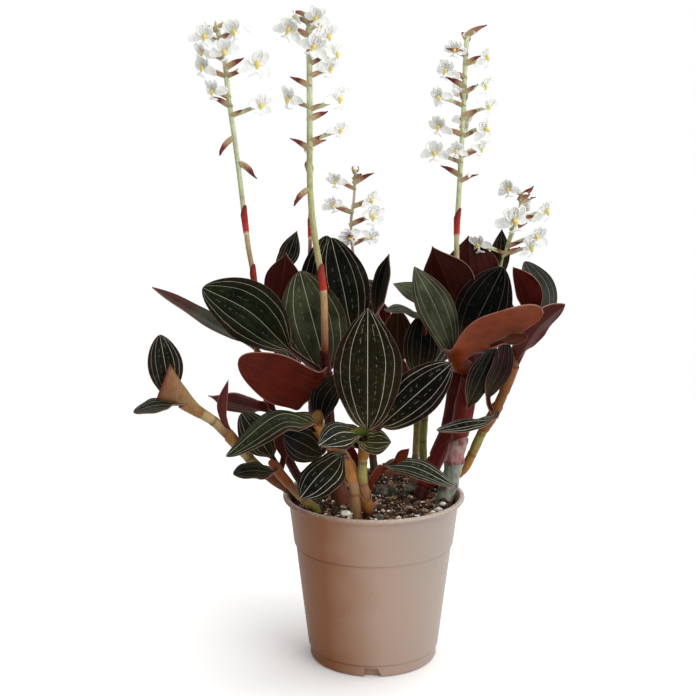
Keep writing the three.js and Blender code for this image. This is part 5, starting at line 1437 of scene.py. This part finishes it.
for name, spike in SPIKES.items():
    path = measured(spike["stalk"])
    pieces = []
    for i, (height, azimuth, reach, size) in enumerate(spike["flowers"]):
        foot = at_height(path, height)
        heart = foot + outward(azimuth, FLOWER_RISE) * reach
        face = outward(toward_light(azimuth) + chance.uniform(-14, 14),
                       FLOWER_NOD + chance.uniform(-0.15, 0.15))
        up = unit(np.array((0, 0, 1)) - face * face[2])
        across = np.cross(up, face)
        roll = chance.normal(0, 0.3)
        up, across = (up * math.cos(roll) + across * math.sin(roll),
                      across * math.cos(roll) - up * math.sin(roll))
        own = bloom_shape.copy()
        wing = np.clip(np.abs(own[:, 0]) - 1.2, 0, None)
        own[:, 2] += chance.uniform(-0.35, 0.35) * wing
        own[:, 1] += chance.uniform(-0.45, 0.25) * wing
        own *= 1 + 0.16 * lumpy(own + chance.uniform(0, 90, 3), 4)[:, None]
        scale = 1.15 * size / FLOWER_SPAN
        pieces.append(copied(f"{name}_bloom_{i}", bloom,
                             heart + (own @ np.array([across, up, face])) * scale))
        pieces.append(ovary(f"{name}_ovary_{i}", foot, heart - face * 0.2, chance.uniform(0.4, 1.6)))
    for i, (height, azimuth, reach) in enumerate(spike["buds"]):
        foot = at_height(path, height)
        way = outward(azimuth, BUD_RISE)
        across = unit(np.cross(way, (0.1, 0.2, 1)))
        beside = np.cross(way, across)
        share = (ball[:, 2] + 1) / 2
        fat = 1.9 * (0.35 + 0.65 * ramp(share, 0.2, 0.65))
        body = (ball[:, :1] * across + ball[:, 1:2] * beside) * fat[:, None]
        pieces.append(copied(f"{name}_bud_{i}", bud_pattern, foot + way * (share * reach)[:, None] + body))
        pieces.append(ovary(f"{name}_bud_ovary_{i}", foot, foot + way * reach * 0.45, 0.2))
    fitted(joined(name + "_flowers", pieces), name, "foliage")
bpy.data.objects.remove(bloom)
bpy.data.objects.remove(bud_pattern)

# ------------------------------------------------------------------------------ floor, light and camera
# A plain pale floor that fades into a white surround, which is brighter at the back on the right. The
# light is soft: a broad window high on the right in front and a soft box overhead. The eye's place is
# in metres, and its focal length is in pixels of a view that is 696 wide.
FLOOR_RADIUS, FLOOR_CLEAR = 0.9, 0.22
EYE, EYE_TILT, SENSOR, FOCAL_PIXELS, VIEW_PIXELS = (-0.017, -0.8, 0.358), 79.4, 36, 1256, 696
bpy.ops.mesh.primitive_circle_add(vertices=96, radius=FLOOR_RADIUS, fill_type="NGON",
                                  location=(0, 0, -0.2 * MM))
floor = added("floor")
paper, tree, shader = finish("matte_paper_floor", Roughness=0.9, Specular_IOR_Level=0.2)
spot = node(tree, "TexCoord", out="Object")
mottle = node(tree, "TexNoise", ("Vector", spot), ("Scale", 3.0))
pale = node(tree, "Mix", (0, mottle), (6, linear("#FAFAF9")), (7, linear("#FDFDFC")), data_type="RGBA", out=2)
tree.links.new(pale, shader.inputs["Base Color"])
away = node(tree, "VectorMath", (0, spot), operation="LENGTH", out="Value")
clear = node(tree, "MapRange", ("Value", away), ("From Min", FLOOR_RADIUS), ("From Max", FLOOR_CLEAR),
             interpolation_type="SMOOTHSTEP")
tree.links.new(clear, shader.inputs["Alpha"])
floor.data.materials.append(paper)

world = bpy.data.worlds.new("studio_surround")
bpy.context.scene.world = world
world.use_nodes = True
tree = world.node_tree
way = node(tree, "TexCoord", out="Generated")
toward = node(tree, "VectorMath", (0, way), (1, unit((0.75, 0.5, 0.45))), operation="DOT_PRODUCT",
              out="Value")
glow = node(tree, "MapRange", ("Value", toward), ("From Min", -0.8), ("From Max", 0.9), ("To Min", 0.34),
            ("To Max", 1.1))
tree.links.new(glow, tree.nodes["Background"].inputs["Strength"])
white = node(tree, "Background", ("Color", linear("#FFFFFF")), ("Strength", 1.0))
tree.nodes["Background"].inputs["Color"].default_value = linear("#FFFFFF")
seen = node(tree, "LightPath", out="Is Camera Ray")
backdrop = node(tree, "MixShader", (0, seen), (1, tree.nodes["Background"].outputs[0]), (2, white))
tree.links.new(backdrop, tree.nodes["World Output"].inputs["Surface"])
for name, place, aim, size, power in (
    ("right_window", (1.2, -1.3, 1.1), (0, 0, 0.2), 1.3, 17),
    ("top_softbox", (0.3, 0.2, 2.0), (0, 0, 0.2), 1.8, 20),
):
    light = bpy.data.lights.new(name, "AREA")
    light.size, light.energy = size, power
    lamp = placed(name, light)
    lamp.location = place
    lamp.rotation_euler = (Vector(aim) - Vector(place)).to_track_quat("-Z", "Y").to_euler()
bpy.context.scene.view_settings.view_transform = "Standard"

camera = placed("camera", bpy.data.cameras.new("camera"))
camera.location = EYE
camera.rotation_euler = (math.radians(EYE_TILT), 0, 0)
camera.data.sensor_width = SENSOR
camera.data.lens = SENSOR * FOCAL_PIXELS / VIEW_PIXELS
camera.data.clip_start = 0.01
bpy.context.scene.camera = camera
